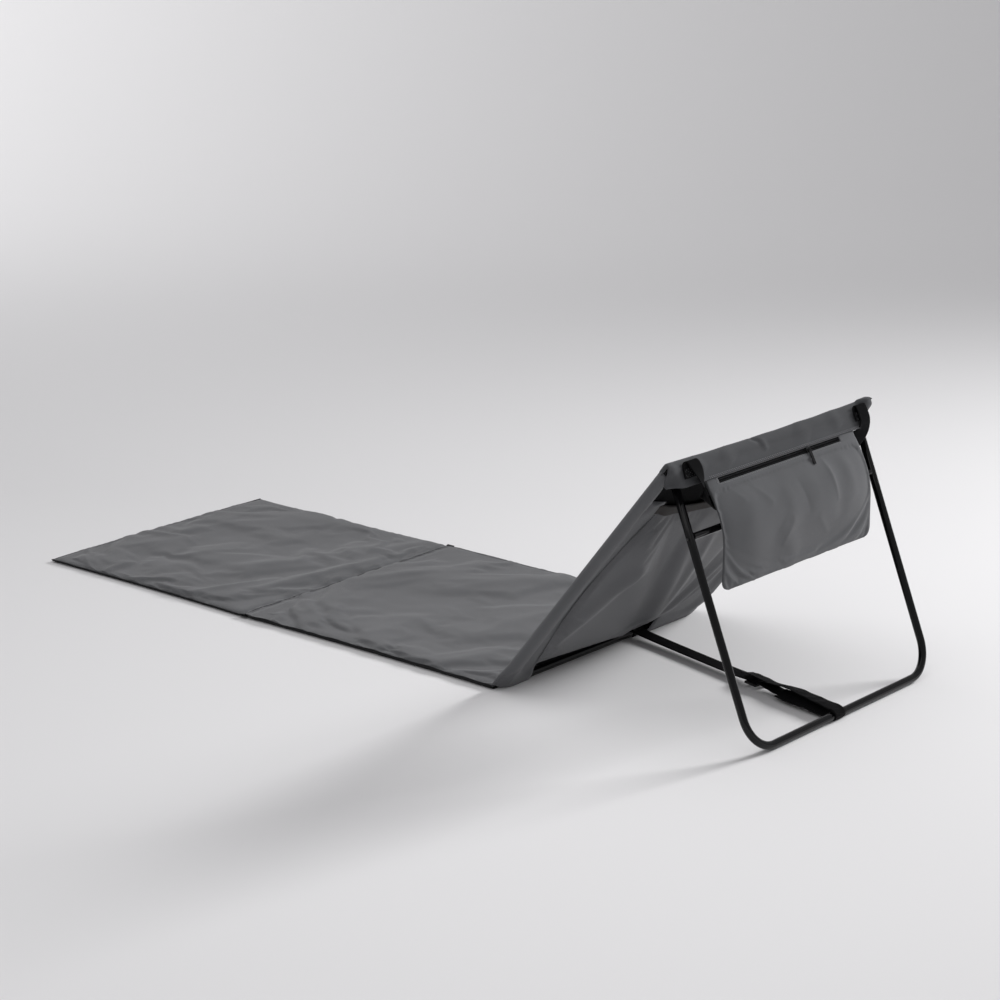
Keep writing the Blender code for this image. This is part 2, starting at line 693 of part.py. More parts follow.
zip_slope = Matrix.Rotation(POCKET_LEAN, 4, "X")
zip_floor = (2 * CLOTH + FIT) * cos(POCKET_LEAN) + FIT


def zip_place(x, below, proud):
    """A point on the sloped top of the pocket: below the hem and proud of the cloth."""
    return zip_slope @ Vector((x, zip_floor + proud, -below)) - pocket_lip


def zip_block(name, size, below, material):
    """A bar along the zip, resting on the pocket's cloth."""
    bm = bmesh.new()
    block(bm, size, (0, zip_floor + size[1] / 2, -below))
    bm.transform(Matrix.Translation(-pocket_lip) @ zip_slope)
    return place_mesh(name, bm, material, POCKET_AXIS)


tape_offset = COIL_WIDE / 2 + FIT + ZIP_TAPE_WIDE / 2
tape_size = (ZIP_LENGTH + 2 * ZIP_TAPE_WIDE, ZIP_TAPE_THICK, ZIP_TAPE_WIDE)
zip_block("zip_tape_upper", tape_size, ZIP_DROP - tape_offset, WEBBING)
zip_block("zip_tape_lower", tape_size, ZIP_DROP + tape_offset, WEBBING)
zip_block("zip_coil", (ZIP_LENGTH, COIL_THICK, COIL_WIDE), ZIP_DROP, BLACK_PLASTIC)

slider_seat = zip_place(SLIDER_X, ZIP_DROP, COIL_THICK + FIT)
SLIDER_AXIS = axis_empty("slider_line", slider_seat, POCKET_LEAN, POCKET_AXIS)
bm = bmesh.new()
block(bm, (SLIDER_LONG, SLIDER_THICK, SLIDER_WIDE), (0, SLIDER_THICK / 2, 0))
bmesh.ops.bevel(bm, geom=bm.edges[:], offset=SLIDER_THICK / 4, segments=1, profile=0.5, affect="EDGES")
slider = place_mesh("zip_slider", bm, GUNMETAL, SLIDER_AXIS)
bm = bmesh.new()
block(bm, (EAR_WIDE, EAR_TALL + SLIDER_THICK / 2, EAR_LONG), (0, SLIDER_THICK * 0.75 + EAR_TALL / 2, 0))
ear = place_mesh("slider ear", bm, GUNMETAL, SLIDER_AXIS)
pull_height = SLIDER_THICK + EAR_TALL / 2
drill(slider, PULL_PIN + FIT, 2 * PULL_WIDE, (0, pull_height, 0), "ear hole")
join = slider.modifiers.new("ear", "BOOLEAN")
join.operation = "UNION"
join.object = ear
slider.modifiers.move(1, 0)

PULL_AXIS = axis_empty("pull_axis", (0, pull_height, 0), 0.0, SLIDER_AXIS)
fork = hypot(EAR_LONG, EAR_TALL) / 2 + FIT
bm = bmesh.new()
block(bm, (PULL_WIDE, PULL_THICK, PULL_LONG), (0, 0, PULL_PIN * 2 - PULL_LONG / 2))
pull = place_mesh("zip_pull", bm, GUNMETAL, PULL_AXIS)
bm = bmesh.new()
block(bm, (EAR_WIDE + 2 * FIT, 2 * PULL_THICK, 2 * fork + PULL_PIN), (0, 0, PULL_PIN / 2))
slot = place_mesh("pull slot", bm, GUNMETAL, PULL_AXIS)
half_pin = (PULL_WIDE - FIT) / 2
pin_profile = [(-half_pin, 0), (-half_pin, PULL_PIN), (half_pin, PULL_PIN), (half_pin, 0)]
pin = place_mesh("pull pin", turned(pin_profile, (0, 0, 0), 10), GUNMETAL, PULL_AXIS)
for helper, operation in ((slot, "DIFFERENCE"), (pin, "UNION")):
    step = pull.modifiers.new(helper.name, "BOOLEAN")
    step.operation = operation
    step.object = helper
for helper in (ear, slot, pin):
    helper.hide_render = True
    helper.display_type = "WIRE"


# Carry strap: a loop of webbing from under the flap, behind the pocket, with sewn patches on the flap

strap_depth = 2 * FIT + WEB_THICK / 2
carry_points = [
    zip_slope @ Vector((x, -strap_depth, -below))
    for x, below in (
        (CARRY_LEFT_X, -CARRY_TUCK), (CARRY_LEFT_X, CARRY_DROP),
        (CARRY_RIGHT_X, CARRY_DROP), (CARRY_RIGHT_X, -CARRY_TUCK))]
bm = bmesh.new()
strip(bm, carry_points, oblong(WEB_WIDE, WEB_THICK), zip_slope.to_3x3() @ Vector((0, 1, 0)))
place_mesh("carry_strap", bm, WEBBING, HEM_AXIS)

for label, patch_x in (("left", CARRY_LEFT_X), ("right", CARRY_RIGHT_X)):
    patch_u = (abs(patch_x) + WEB_WIDE / 2) / front_half
    flap_rise = flap_surface(patch_u, 1 - 2 * FLAP_ROWS / flap_steps) - flap_surface(patch_u, 1.0)
    flap_slope = Matrix.Rotation(BACK_ANGLE + atan2(flap_rise.z, flap_rise.y) - pi / 2, 4, "X")
    bm = bmesh.new()
    patch_middle = (patch_x, CLOTH + FIT + WEB_THICK / 2, PATCH_LONG / 2 + PATCH_HEM)
    block(bm, (WEB_WIDE, WEB_THICK, PATCH_LONG), patch_middle)
    bm.transform(flap_slope)
    place_mesh("carry_strap_patch_" + label, bm, WEBBING, HEM_AXIS)


# Adjusting strap: a loop round each bar, webbing from both to a ladder buckle, and the free tail

loop_bore = TUBE_RADIUS + FIT
loop_rim = loop_bore + WEB_THICK
half_web = WEB_WIDE / 2
loop_profile = [
    (-half_web, loop_bore), (-half_web, loop_rim), (half_web, loop_rim), (half_web, loop_bore),
    (-half_web, loop_bore)]
back_loop = turned(loop_profile, back_place(STRAP_FRONT_X, BAR_S, 0.0))
place_mesh("strap_backrest_loop", back_loop, WEBBING, CREASE_AXIS)
leg_loop = turned(loop_profile, (STRAP_LEG_X, 0, -LEG_LENGTH))
place_mesh("strap_leg_loop", leg_loop, WEBBING, LEG_AXIS)

strap_run = Vector((STRAP_LEG_X - STRAP_FRONT_X, LEG_BAR_REACH - BACK_BAR_REACH))
strap_slant = -atan2(strap_run.x, strap_run.y)
STRAP_AXIS = axis_empty("strap_line", (0, 0, 0), 0.0, CREASE_AXIS)
STRAP_AXIS.matrix_basis = (
    Matrix.Translation(back_place(STRAP_FRONT_X, BAR_S, 0.0))
    @ Matrix.Rotation(-BACK_ANGLE, 4, "X") @ Matrix.Rotation(strap_slant, 4, "Z"))
loop_clear = loop_rim + FIT + half_web * abs(sin(strap_slant))
over_bar = BUCKLE_THICK / 2 + FIT + WEB_THICK / 2
bar_edge = BUCKLE_LONG / 2 - BUCKLE_BAR
slot_middle = bar_edge - WEB_THICK - FIT


def web_run(name, bar, along):
    """Webbing from a bar's loop over the buckle's end bar and down its slot."""
    points = [
        (0, bar, 0), (0, BUCKLE_REACH - along * (BUCKLE_LONG / 2 + 3 * over_bar), 0),
        (0, BUCKLE_REACH - along * (BUCKLE_LONG / 2 + FIT), over_bar),
        (0, BUCKLE_REACH - along * slot_middle, over_bar),
        (0, BUCKLE_REACH - along * slot_middle, -BUCKLE_THICK / 2)]
    bm = bmesh.new()
    strip(bm, rounded_path(points, WEB_THICK, 2), oblong(WEB_THICK, WEB_WIDE), (1, 0, 0))
    place_mesh(name, bm, WEBBING, STRAP_AXIS)


web_run("strap_web_front", loop_clear, 1)
web_run("strap_web_rear", strap_run.length - loop_clear, -1)

bm = bmesh.new()
block(bm, (BUCKLE_WIDE, BUCKLE_LONG, BUCKLE_THICK), (0, BUCKLE_REACH, 0))
corner_edges = [
    edge for edge in bm.edges
    if abs(edge.verts[0].co.z - edge.verts[1].co.z) > BUCKLE_THICK / 2]
bmesh.ops.bevel(bm, geom=corner_edges, offset=BUCKLE_BAR, segments=3, profile=0.5, affect="EDGES")
buckle = place_mesh("ladder_buckle", bm, BLACK_PLASTIC, STRAP_AXIS)
slot_long = bar_edge - BUCKLE_BAR / 2
for label, side in (("front slot", -1), ("rear slot", 1)):
    bm = bmesh.new()
    slot_y = BUCKLE_REACH + side * (BUCKLE_BAR / 2 + slot_long / 2)
    block(bm, (BUCKLE_WIDE - 2 * BUCKLE_BAR, slot_long, 3 * BUCKLE_THICK), (0, slot_y, 0))
    slot = place_mesh(label, bm, BLACK_PLASTIC, STRAP_AXIS)
    slot.hide_render = True
    slot.display_type = "WIRE"
    cut = buckle.modifiers.new(label, "BOOLEAN")
    cut.operation = "DIFFERENCE"
    cut.object = slot

tail_start = BUCKLE_REACH + BUCKLE_LONG / 2
tail_points = [
    (0, tail_start - BUCKLE_BAR, over_bar + WEB_THICK + FIT),
    (0, tail_start + TAIL_LONG * TAIL_TOP, TAIL_HUMP),
    (0, tail_start + TAIL_LONG * TAIL_LANDS, WEB_THICK + FIT),
    (0, tail_start + TAIL_LONG, WEB_THICK + FIT)]
bm = bmesh.new()
strip(bm, rounded_path(tail_points, TAIL_BEND, 3), oblong(WEB_THICK, WEB_WIDE), (1, 0, 0))
place_mesh("strap_tail", bm, WEBBING, STRAP_AXIS)
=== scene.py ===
"""A folding beach lounger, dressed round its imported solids: thin padded mat, sleeved backrest, tube legs.

Metres, in the frame of the solids: X across the mat, +Y from the foot end to the legs, +Z up.
"""
import json
from math import atan2, cos, exp, hypot, pi, radians, sin, sqrt

import bmesh
import bpy
from mathutils import Matrix, Vector, noise


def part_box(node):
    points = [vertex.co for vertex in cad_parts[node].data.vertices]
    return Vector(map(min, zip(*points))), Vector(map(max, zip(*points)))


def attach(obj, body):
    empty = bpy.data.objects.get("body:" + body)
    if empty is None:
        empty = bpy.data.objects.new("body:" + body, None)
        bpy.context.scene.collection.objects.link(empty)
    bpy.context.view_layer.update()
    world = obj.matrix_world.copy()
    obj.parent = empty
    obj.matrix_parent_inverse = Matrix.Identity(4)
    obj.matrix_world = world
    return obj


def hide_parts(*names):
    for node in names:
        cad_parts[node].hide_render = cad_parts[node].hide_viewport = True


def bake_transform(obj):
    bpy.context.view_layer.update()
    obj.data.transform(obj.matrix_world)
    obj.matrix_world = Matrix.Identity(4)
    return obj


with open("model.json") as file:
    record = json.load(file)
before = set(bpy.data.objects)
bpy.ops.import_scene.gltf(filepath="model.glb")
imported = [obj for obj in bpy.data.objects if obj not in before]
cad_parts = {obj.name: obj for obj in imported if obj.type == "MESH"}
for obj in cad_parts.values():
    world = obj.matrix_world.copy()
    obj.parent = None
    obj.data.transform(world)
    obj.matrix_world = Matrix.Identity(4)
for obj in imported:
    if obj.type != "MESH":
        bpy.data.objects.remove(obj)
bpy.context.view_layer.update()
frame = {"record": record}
scene = bpy.context.scene
scene.view_settings.view_transform = "Standard"


# Camera: a long lens behind the legs and to one side of the lounger, a little above the backrest,
# so that the mat runs away to the left.

EYE = Vector((3.1356, 2.7348, 1.3720))
EYE_YAW = -2.4364
EYE_PITCH = -0.2767
LENS_MM = 97.75

camera = bpy.data.objects.new("camera", bpy.data.cameras.new("camera"))
scene.collection.objects.link(camera)
sight = Vector((cos(EYE_PITCH) * cos(EYE_YAW), cos(EYE_PITCH) * sin(EYE_YAW), sin(EYE_PITCH)))
camera.location = EYE
camera.rotation_euler = sight.to_track_quat("-Z", "Y").to_euler()
camera.data.lens = LENS_MM
camera.data.sensor_width = 36.0
camera.data.clip_end = 60.0
scene.camera = camera


# Studio: a pale floor that sweeps up into a backdrop with its own light. A soft light stands low on the
# far side, a broad one hangs above, a weak one is at the leg end, and a pale world fills the shadows.

FLOOR_HALF = 9.0
WALL_AWAY = 6.5
SWEEP_RADIUS = 2.5
WALL_HEIGHT = 7.0
FLOOR_COLOUR = (0.785, 0.780, 0.788, 1.0)
FLOOR_ROUGHNESS = 0.80
FLOOR_SHINE = 0.2
WORLD_COLOUR = (0.99, 0.985, 1.0, 1.0)
WORLD_STRENGTH = 0.40

bm = bmesh.new()
bmesh.ops.create_grid(bm, x_segments=1, y_segments=1, size=FLOOR_HALF)
rear_edges = [edge for edge in bm.edges if all(vert.co.y < 0 for vert in edge.verts)]
raised = bmesh.ops.extrude_edge_only(bm, edges=rear_edges)["geom"]
wall_verts = [item for item in raised if isinstance(item, bmesh.types.BMVert)]
bmesh.ops.translate(bm, verts=wall_verts, vec=(0, 0, WALL_HEIGHT))
bmesh.ops.bevel(
    bm, geom=rear_edges, offset=SWEEP_RADIUS, segments=24, profile=0.5, affect="EDGES", material=-1)
bmesh.ops.transform(
    bm, verts=bm.verts[:],
    matrix=Matrix.Rotation(EYE_YAW + pi / 2, 4, "Z") @ Matrix.Translation((0, FLOOR_HALF - WALL_AWAY, 0)))
floor_mesh = bpy.data.meshes.new("studio_floor")
bm.to_mesh(floor_mesh)
bm.free()
floor_mesh.shade_smooth()
floor = bpy.data.objects.new("studio_floor", floor_mesh)
scene.collection.objects.link(floor)
floor_finish = bpy.data.materials.new("studio_floor")
floor_finish.use_nodes = True
floor_shader = floor_finish.node_tree.nodes["Principled BSDF"]
floor_shader.inputs["Base Color"].default_value = FLOOR_COLOUR
floor_shader.inputs["Roughness"].default_value = FLOOR_ROUGHNESS
floor_shader.inputs["Specular IOR Level"].default_value = FLOOR_SHINE
floor_mesh.materials.append(floor_finish)

world = bpy.data.worlds.new("studio")
world.use_nodes = True
world.node_tree.nodes["Background"].inputs["Color"].default_value = WORLD_COLOUR
world.node_tree.nodes["Background"].inputs["Strength"].default_value = WORLD_STRENGTH
scene.world = world


def soft_light(name, place, aim, size, power, spread=180.0, glints=True):
    """A soft box that looks at a point, its beam narrowed by a grid; it may leave no glints."""
    lamp = bpy.data.lights.new(name, "AREA")
    lamp.shape = "RECTANGLE"
    lamp.size = size[0]
    lamp.size_y = size[1]
    lamp.energy = power
    lamp.spread = radians(spread)
    holder = bpy.data.objects.new(name, lamp)
    scene.collection.objects.link(holder)
    holder.location = place
    holder.visible_glossy = glints
    holder.rotation_euler = (Vector(aim) - Vector(place)).to_track_quat("-Z", "Y").to_euler()


soft_light("side_light", (-4.8, 1.8, 2.3), (0.6, 0.8, 0.0), (1.7, 1.4), 46.0, 62.0, False)
soft_light("top_light", (0.3, -0.8, 3.6), (0.0, -0.2, 0.0), (3.4, 3.0), 22.0)
soft_light("near_fill", (2.6, 2.6, 2.8), (1.0, 1.0, 0.0), (3.0, 2.0), 12.0, 180.0, False)
soft_light("backdrop_light", (0.4, -4.4, 3.8), (-2.4, -6.6, 2.2), (2.4, 1.6), 165.0)


# Coated cloth: a plain weave of grey polyester yarn, coated behind, soft and slightly uneven in tone.
# The weave and the mottle are two groups that the other cloths and the webbing use too.

def value_node(nodes, operation, first, second):
    """A maths node with its two inputs linked or set."""
    node = nodes.new("ShaderNodeMath")
    node.operation = operation
    for socket, source in zip(node.inputs, (first, second)):
        if isinstance(source, (int, float)):
            socket.default_value = source
        else:
            node.id_data.links.new(source, socket)
    return node.outputs["Value"]


def new_group(name, inputs, outputs):
    """An empty shader group with float inputs and outputs."""
    group = bpy.data.node_groups.new(name, "ShaderNodeTree")
    for label, default in inputs:
        socket = group.interface.new_socket(label, in_out="INPUT", socket_type="NodeSocketFloat")
        socket.default_value = default
    for label in outputs:
        group.interface.new_socket(label, in_out="OUTPUT", socket_type="NodeSocketFloat")
    return group, group.nodes.new("NodeGroupInput"), group.nodes.new("NodeGroupOutput")


def make_weave():
    """Over-and-under yarns on the piece's UV map, in yarns per metre each way."""
    group, enter, leave = new_group("plain_weave", [("Yarns", 1600.0), ("Ribs", 1600.0)], ["Height"])
    nodes, links = group.nodes, group.links
    place = nodes.new("ShaderNodeTexCoord")
    parts = nodes.new("ShaderNodeSeparateXYZ")
    links.new(place.outputs["UV"], parts.inputs["Vector"])
    waves = []
    for axis, count in (("X", "Yarns"), ("Y", "Ribs")):
        turns = value_node(nodes, "MULTIPLY", parts.outputs[axis], enter.outputs[count])
        angle = value_node(nodes, "MULTIPLY", turns, 2 * pi)
        waves.append(value_node(nodes, "SINE", angle, 0.0))
    crossing = value_node(nodes, "MULTIPLY", waves[0], waves[1])
    half = value_node(nodes, "MULTIPLY", crossing, 0.5)
    links.new(value_node(nodes, "ADD", half, 0.5), leave.inputs["Height"])
    return group


def make_mottle():
    """Slow and fast unevenness of a dyed cloth, from 0 to 1, in Object coordinates."""
    group, enter, leave = new_group("cloth_mottle", [("Slow", 9.0), ("Fast", 240.0)], ["Shade", "Nap"])
    nodes, links = group.nodes, group.links
    place = nodes.new("ShaderNodeTexCoord")
    for scale, detail, output in (("Slow", 4.0, "Shade"), ("Fast", 2.0, "Nap")):
        cloud = nodes.new("ShaderNodeTexNoise")
        cloud.inputs["Detail"].default_value = detail
        links.new(place.outputs["Object"], cloud.inputs["Vector"])
        links.new(enter.outputs[scale], cloud.inputs["Scale"])
        links.new(cloud.outputs["Fac"], leave.inputs[output])
    return group


WEAVE = make_weave()
MOTTLE = make_mottle()


NAP_SHARE = 0.35
ROUGH_SPREAD = 0.16
WEAVE_STRENGTH = 0.35


def cloth_finish(
        name, dark, light, roughness, yarns=1600.0, ribs=1600.0, relief=0.00012, sheen=0.12, shine=0.35):
    """Woven cloth between two tones, with the weave as fine relief."""
    material = bpy.data.materials.new(name)
    material.use_nodes = True
    nodes, links = material.node_tree.nodes, material.node_tree.links
    shader = nodes["Principled BSDF"]
    shader.inputs["Sheen Weight"].default_value = sheen
    shader.inputs["Sheen Roughness"].default_value = 0.5
    shader.inputs["Specular IOR Level"].default_value = shine
    weave = nodes.new("ShaderNodeGroup")
    weave.node_tree = WEAVE
    weave.inputs["Yarns"].default_value = yarns
    weave.inputs["Ribs"].default_value = ribs
    mottle = nodes.new("ShaderNodeGroup")
    mottle.node_tree = MOTTLE
    tone = nodes.new("ShaderNodeMix")
    tone.data_type = "RGBA"
    tone.inputs["A"].default_value = (*dark, 1.0)
    tone.inputs["B"].default_value = (*light, 1.0)
    nap = value_node(nodes, "MULTIPLY", mottle.outputs["Nap"], NAP_SHARE)
    links.new(value_node(nodes, "ADD", mottle.outputs["Shade"], nap), tone.inputs["Factor"])
    links.new(tone.outputs["Result"], shader.inputs["Base Color"])
    rough = value_node(nodes, "MULTIPLY", mottle.outputs["Nap"], ROUGH_SPREAD)
    links.new(value_node(nodes, "ADD", rough, roughness - ROUGH_SPREAD / 2), shader.inputs["Roughness"])
    bump = nodes.new("ShaderNodeBump")
    bump.inputs["Strength"].default_value = WEAVE_STRENGTH
    bump.inputs["Distance"].default_value = relief
    links.new(weave.outputs["Height"], bump.inputs["Height"])
    links.new(bump.outputs["Normal"], shader.inputs["Normal"])
    return material


GREY_CLOTH = cloth_finish("grey_polyester", (0.070, 0.0715, 0.0755), (0.100, 0.102, 0.108), 0.62)
BLACK_CLOTH = cloth_finish(
    "black_base_cloth", (0.006, 0.006, 0.007), (0.013, 0.013, 0.014), 0.8, sheen=0.03, shine=0.2)


# Mat covers: two thin pads of grey cloth over foam, foot and seat, sewn together at the fold.
# Each cover is draped as one sheet with a little spare cloth, settled as cloth, then closed below.

def piece_from(name, bm, material, body=None):
    """A finished piece at the origin from a bmesh, shaded smooth."""
    mesh = bpy.data.meshes.new(name)
    bm.to_mesh(mesh)
    bm.free()
    mesh.materials.append(material)
    mesh.shade_smooth()
    piece = bpy.data.objects.new(name, mesh)
    scene.collection.objects.link(piece)
    if body:
        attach(piece, body)
    return piece


def draped(across, along, cut, surface):
    """A bmesh grid on surface(u, v), u and v from -1 to 1, with the cut's metres as its UV map."""
    bm = bmesh.new()
    bmesh.ops.create_grid(bm, x_segments=across, y_segments=along, size=1.0)
    layer = bm.loops.layers.uv.new("cut")
    for face in bm.faces:
        for loop in face.loops:
            loop[layer].uv = (loop.vert.co.x * cut[0] / 2, loop.vert.co.y * cut[1] / 2)
    for vert in bm.verts:
        vert.co = surface(vert.co.x, vert.co.y)
    return bm


def ramp(value, start, reach):
    """From 0 at the start to 1 at the end of the reach, and level beyond both."""
    return min(max((value - start) / reach, 0.0), 1.0)


def folds_at(x, y, folds, sharp=False):
    """Height of folds at a point of the cloth, round or sharp; each fades out at its start and end."""
    total = 0.0
    for start, end, width, height in folds:
        run_x, run_y = end[0] - start[0], end[1] - start[1]
        part = ((x - start[0]) * run_x + (y - start[1]) * run_y) / (run_x ** 2 + run_y ** 2)
        held = ramp(part, 0.0, 1.0)
        off = hypot(x - start[0] - run_x * held, y - start[1] - run_y * held)
        total += height * sqrt(sin(pi * held)) * exp(-off / width if sharp else -(off / width) ** 2)
    return total


def settle(piece, held, slack, steps, most, weight=0.0):
    """Let spare cloth wrinkle by itself between its held points, each point moving at most so far."""
    group = piece.vertex_groups.new(name="held")
    group.add(held, 1.0, "REPLACE")
    cloth = piece.modifiers.new("spare cloth", "CLOTH")
    cloth.settings.quality = 6
    cloth.settings.mass = 0.2
    cloth.settings.tension_stiffness = 30.0
    cloth.settings.compression_stiffness = 30.0
    cloth.settings.shear_stiffness = 12.0
    cloth.settings.bending_stiffness = 0.6
    cloth.settings.shrink_min = -slack
    cloth.settings.vertex_group_mass = group.name
    cloth.settings.effector_weights.gravity = weight
    cloth.collision_settings.use_collision = False
    for step in range(1, steps + 1):
        scene.frame_set(step)
    settled = piece.evaluated_get(bpy.context.evaluated_depsgraph_get())
    places = [vert.co.copy() for vert in settled.data.vertices]
    piece.modifiers.remove(cloth)
    piece.vertex_groups.remove(group)
    scene.frame_set(1)
    for vert, place in zip(piece.data.vertices, places):
        move = place - vert.co
        vert.co += move * min(1.0, most / max(move.length, 1e-9))


def eased(distance, reach):
    """Rises from 0 at an edge to 1 at the reach, like a rounded shoulder."""
    part = ramp(distance, 0.0, reach)
    return sqrt(1 - (1 - part) ** 2)


joints = {joint["name"]: joint for joint in frame["record"]["behaviour"]["joints"]}
MAT_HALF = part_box("seat_top_cloth")[1][0]
FOLD_Y = joints["foot_fold"]["pos_m"][1]
CREASE = Vector(joints["backrest_fold"]["pos_m"])
FOOT_END_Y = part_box("foot_top_cloth")[0][1]
PAD_TOP = 0.0105
PAD_EASE = 0.0010
PAD_RIM = 0.0044
SEAT_RIM = 0.0062
RIM_ROLL = 0.016
SEAM_DEPTH = 0.0030
SEAM_WIDE = 0.007
HALF_SEAM = 0.0008
SIDE_DRAW = 0.0035
NOTCH_DEEP = 0.0035
NOTCH_LONG = 0.010
SLOW_WANDER = 0.0016
FINE_WANDER = 0.0007
RIM_WANDER = 0.0010
LEAST_HEIGHT = PAD_RIM * 0.6
UNDER_HEIGHT = PAD_RIM * 0.55
UNDER_TURN = 0.012
MAT_SPARE = 0.012
MAT_STEPS = 14
MAT_MOST = 0.0022

FOOT_FOLDS = [
    ((0.16, -0.462), (-0.25, -0.290), 0.020, 0.0052), ((0.215, -0.335), (-0.12, -0.287), 0.012, 0.0030),
    ((0.245, -0.602), (0.17, -0.598), 0.008, 0.0030), ((0.245, -0.545), (0.20, -0.470), 0.009, 0.0030),
    ((0.12, -0.575), (-0.02, -0.495), 0.016, 0.0026), ((0.24, -0.40), (0.12, -0.36), 0.011, 0.0022),
    ((0.05, -0.726), (0.03, -0.650), 0.012, 0.0030), ((-0.10, -0.68), (-0.23, -0.52), 0.030, 0.0024),
    ((0.20, -0.69), (0.02, -0.62), 0.022, 0.0020)]
SEAT_FOLDS = [
    ((0.02, -0.245), (-0.12, -0.165), 0.014, 0.0024), ((0.19, -0.215), (0.10, -0.095), 0.016, 0.0024),
    ((-0.05, -0.12), (-0.23, 0.03), 0.024, 0.0026), ((0.23, -0.05), (0.06, 0.02), 0.018, 0.0022),
    ((0.10, 0.06), (-0.12, 0.16), 0.026, 0.0022), ((0.235, 0.14), (0.10, 0.20), 0.016, 0.0026),
    ((-0.14, 0.17), (-0.23, 0.22), 0.014, 0.0020)]


def mat_cover(name, front, rear, folds, foot_end, across, along):
    """The top of a pad: rounded rims, soft folds and the sewn dip at the fold."""
    length = rear - front

    def top(u, v):
        """A point of the top, with the points closer together towards the rims."""
        x_share, y_share = sin(u * pi / 2), sin(v * pi / 2)
        y = front + length * (y_share + 1) / 2
        notch = exp(-((rear - y if foot_end else y - front) / NOTCH_LONG) ** 2)
        draw = SIDE_DRAW * (1 - y_share ** 2) + NOTCH_DEEP * notch
        x = x_share * (MAT_HALF - draw)
        if foot_end:
            y += SIDE_DRAW * (1 - x_share ** 2) * (1 - y_share) / 2
        side = MAT_HALF - draw - abs(x)
        rise = eased(side, RIM_ROLL)
        seam = y - front
        if foot_end:
            rise *= eased(y - front, RIM_ROLL)
            seam = rear - y
        wander = SLOW_WANDER * noise.noise((x * 9, y * 9, 0.3))
        wander += FINE_WANDER * noise.noise((x * 31, y * 31, 4.0))
        puff = PAD_TOP - PAD_EASE + wander + folds_at(x, y, folds)
        dip = SEAM_DEPTH * exp(-(seam / SEAM_WIDE) ** 2)
        rim = (PAD_RIM if foot_end else SEAT_RIM) + RIM_WANDER * noise.noise((x * 14, y * 14, 9.0))
        return Vector((x, y, rim + (puff - dip - rim) * rise))

    bm = draped(across, along, (2 * MAT_HALF, length), top)
    held = [vert.index for vert in bm.verts if vert.is_boundary]
    piece = piece_from(name, bm, GREY_CLOTH)
    settle(piece, held, MAT_SPARE, MAT_STEPS, MAT_MOST)
    bm = bmesh.new()
    bm.from_mesh(piece.data)
    for vert in bm.verts:
        vert.co.z = max(vert.co.z, LEAST_HEIGHT)
    rim_edges = [edge for edge in bm.edges if edge.is_boundary]
    turned_in = bmesh.ops.extrude_edge_only(bm, edges=rim_edges)["geom"]
    under = [item for item in turned_in if isinstance(item, bmesh.types.BMVert)]
    middle = Vector((0, (front + rear) / 2, 0))
    for vert in under:
        vert.co += (middle - vert.co) * UNDER_TURN
        vert.co.z = UNDER_HEIGHT
    bmesh.ops.holes_fill(bm, edges=[edge for edge in bm.edges if edge.is_boundary])
    bmesh.ops.recalc_face_normals(bm, faces=bm.faces[:])
    bm.to_mesh(piece.data)
    bm.free()
    piece.data.shade_smooth()
    return piece


foot_cover = mat_cover("foot_cover", FOOT_END_Y, FOLD_Y - HALF_SEAM, FOOT_FOLDS, True, 120, 116)
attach(foot_cover, "foot")
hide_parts("foot_top_cloth", "foot_foam")
seat_cover = mat_cover("seat_cover", FOLD_Y + HALF_SEAM, CREASE.y, SEAT_FOLDS, False, 120, 124)
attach(seat_cover, "seat")
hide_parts("seat_top_cloth", "seat_foam")


# Base cloths: black coated cloth under each pad, cut a little wider than the pad and sewn to its rim,
# so that its edge rolls up the side as a dark lip below the grey cover.

LIP_ROLL = 0.006
LIP_START = 0.84
LIP_RIPPLE = 0.30
LIP_PROUD = 0.0006
FAR_LIP = 0.45
FOOT_LIP = 0.0046
SEAT_LIP = 0.0066
BASE_THICK = 0.0008
BASE_Z = BASE_THICK + 0.0001
TAPE_HALF = 0.012


def as_sheet(piece, nodes, wall, offset=0.0):
    """Give a cloth piece its thickness and hide the solids that it stands for."""
    skin = piece.modifiers.new("cloth thickness", "SOLIDIFY")
    skin.thickness = wall
    skin.offset = offset
    if nodes:
        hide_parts(*nodes)
    return piece


def mat_base(name, front, rear, lip, foot_end, body, node):
    """One base cloth, flat on the floor with its outer edges rolled up."""
    length = rear - front

    def roll(share):
        """Angle of the roll at a share of the way out, 0 where the cloth lies flat."""
        return max(share - LIP_START, 0.0) / (1 - LIP_START) * pi / 2

    def under(u, v):
        """A point of the base cloth; at the foot end the end edge is rolled up too."""
        turn = roll(abs(u))
        y = front + length * (v + 1) / 2
        ripple = 1 + LIP_RIPPLE * noise.noise((u * 2, y * 26, 2.0))
        flat_half = MAT_HALF + LIP_PROUD - SIDE_DRAW * (1 - v * v) - LIP_ROLL
        x = (flat_half * min(abs(u) / LIP_START, 1.0) + LIP_ROLL * sin(turn)) * (1 if u > 0 else -1)
        z = lip * ripple * (1 - cos(turn)) * (1.0 if u > 0 else FAR_LIP)
        drawn = SIDE_DRAW * (1 - u * u)
        if foot_end and v < -LIP_START:
            y = front + LIP_ROLL * (1 - sin(roll(-v))) + drawn
            z = max(z, lip * ripple * (1 - cos(roll(-v))))
        elif foot_end:
            part = (v + LIP_START) / (1 + LIP_START)
            y = front + LIP_ROLL + drawn * (1 - part) + (length - LIP_ROLL) * part
        return Vector((x, y, z + BASE_Z))

    cut = (2 * MAT_HALF, length)
    piece = piece_from(name, draped(60, 64, cut, under), BLACK_CLOTH, body)
    as_sheet(piece, [node], BASE_THICK, -1.0)


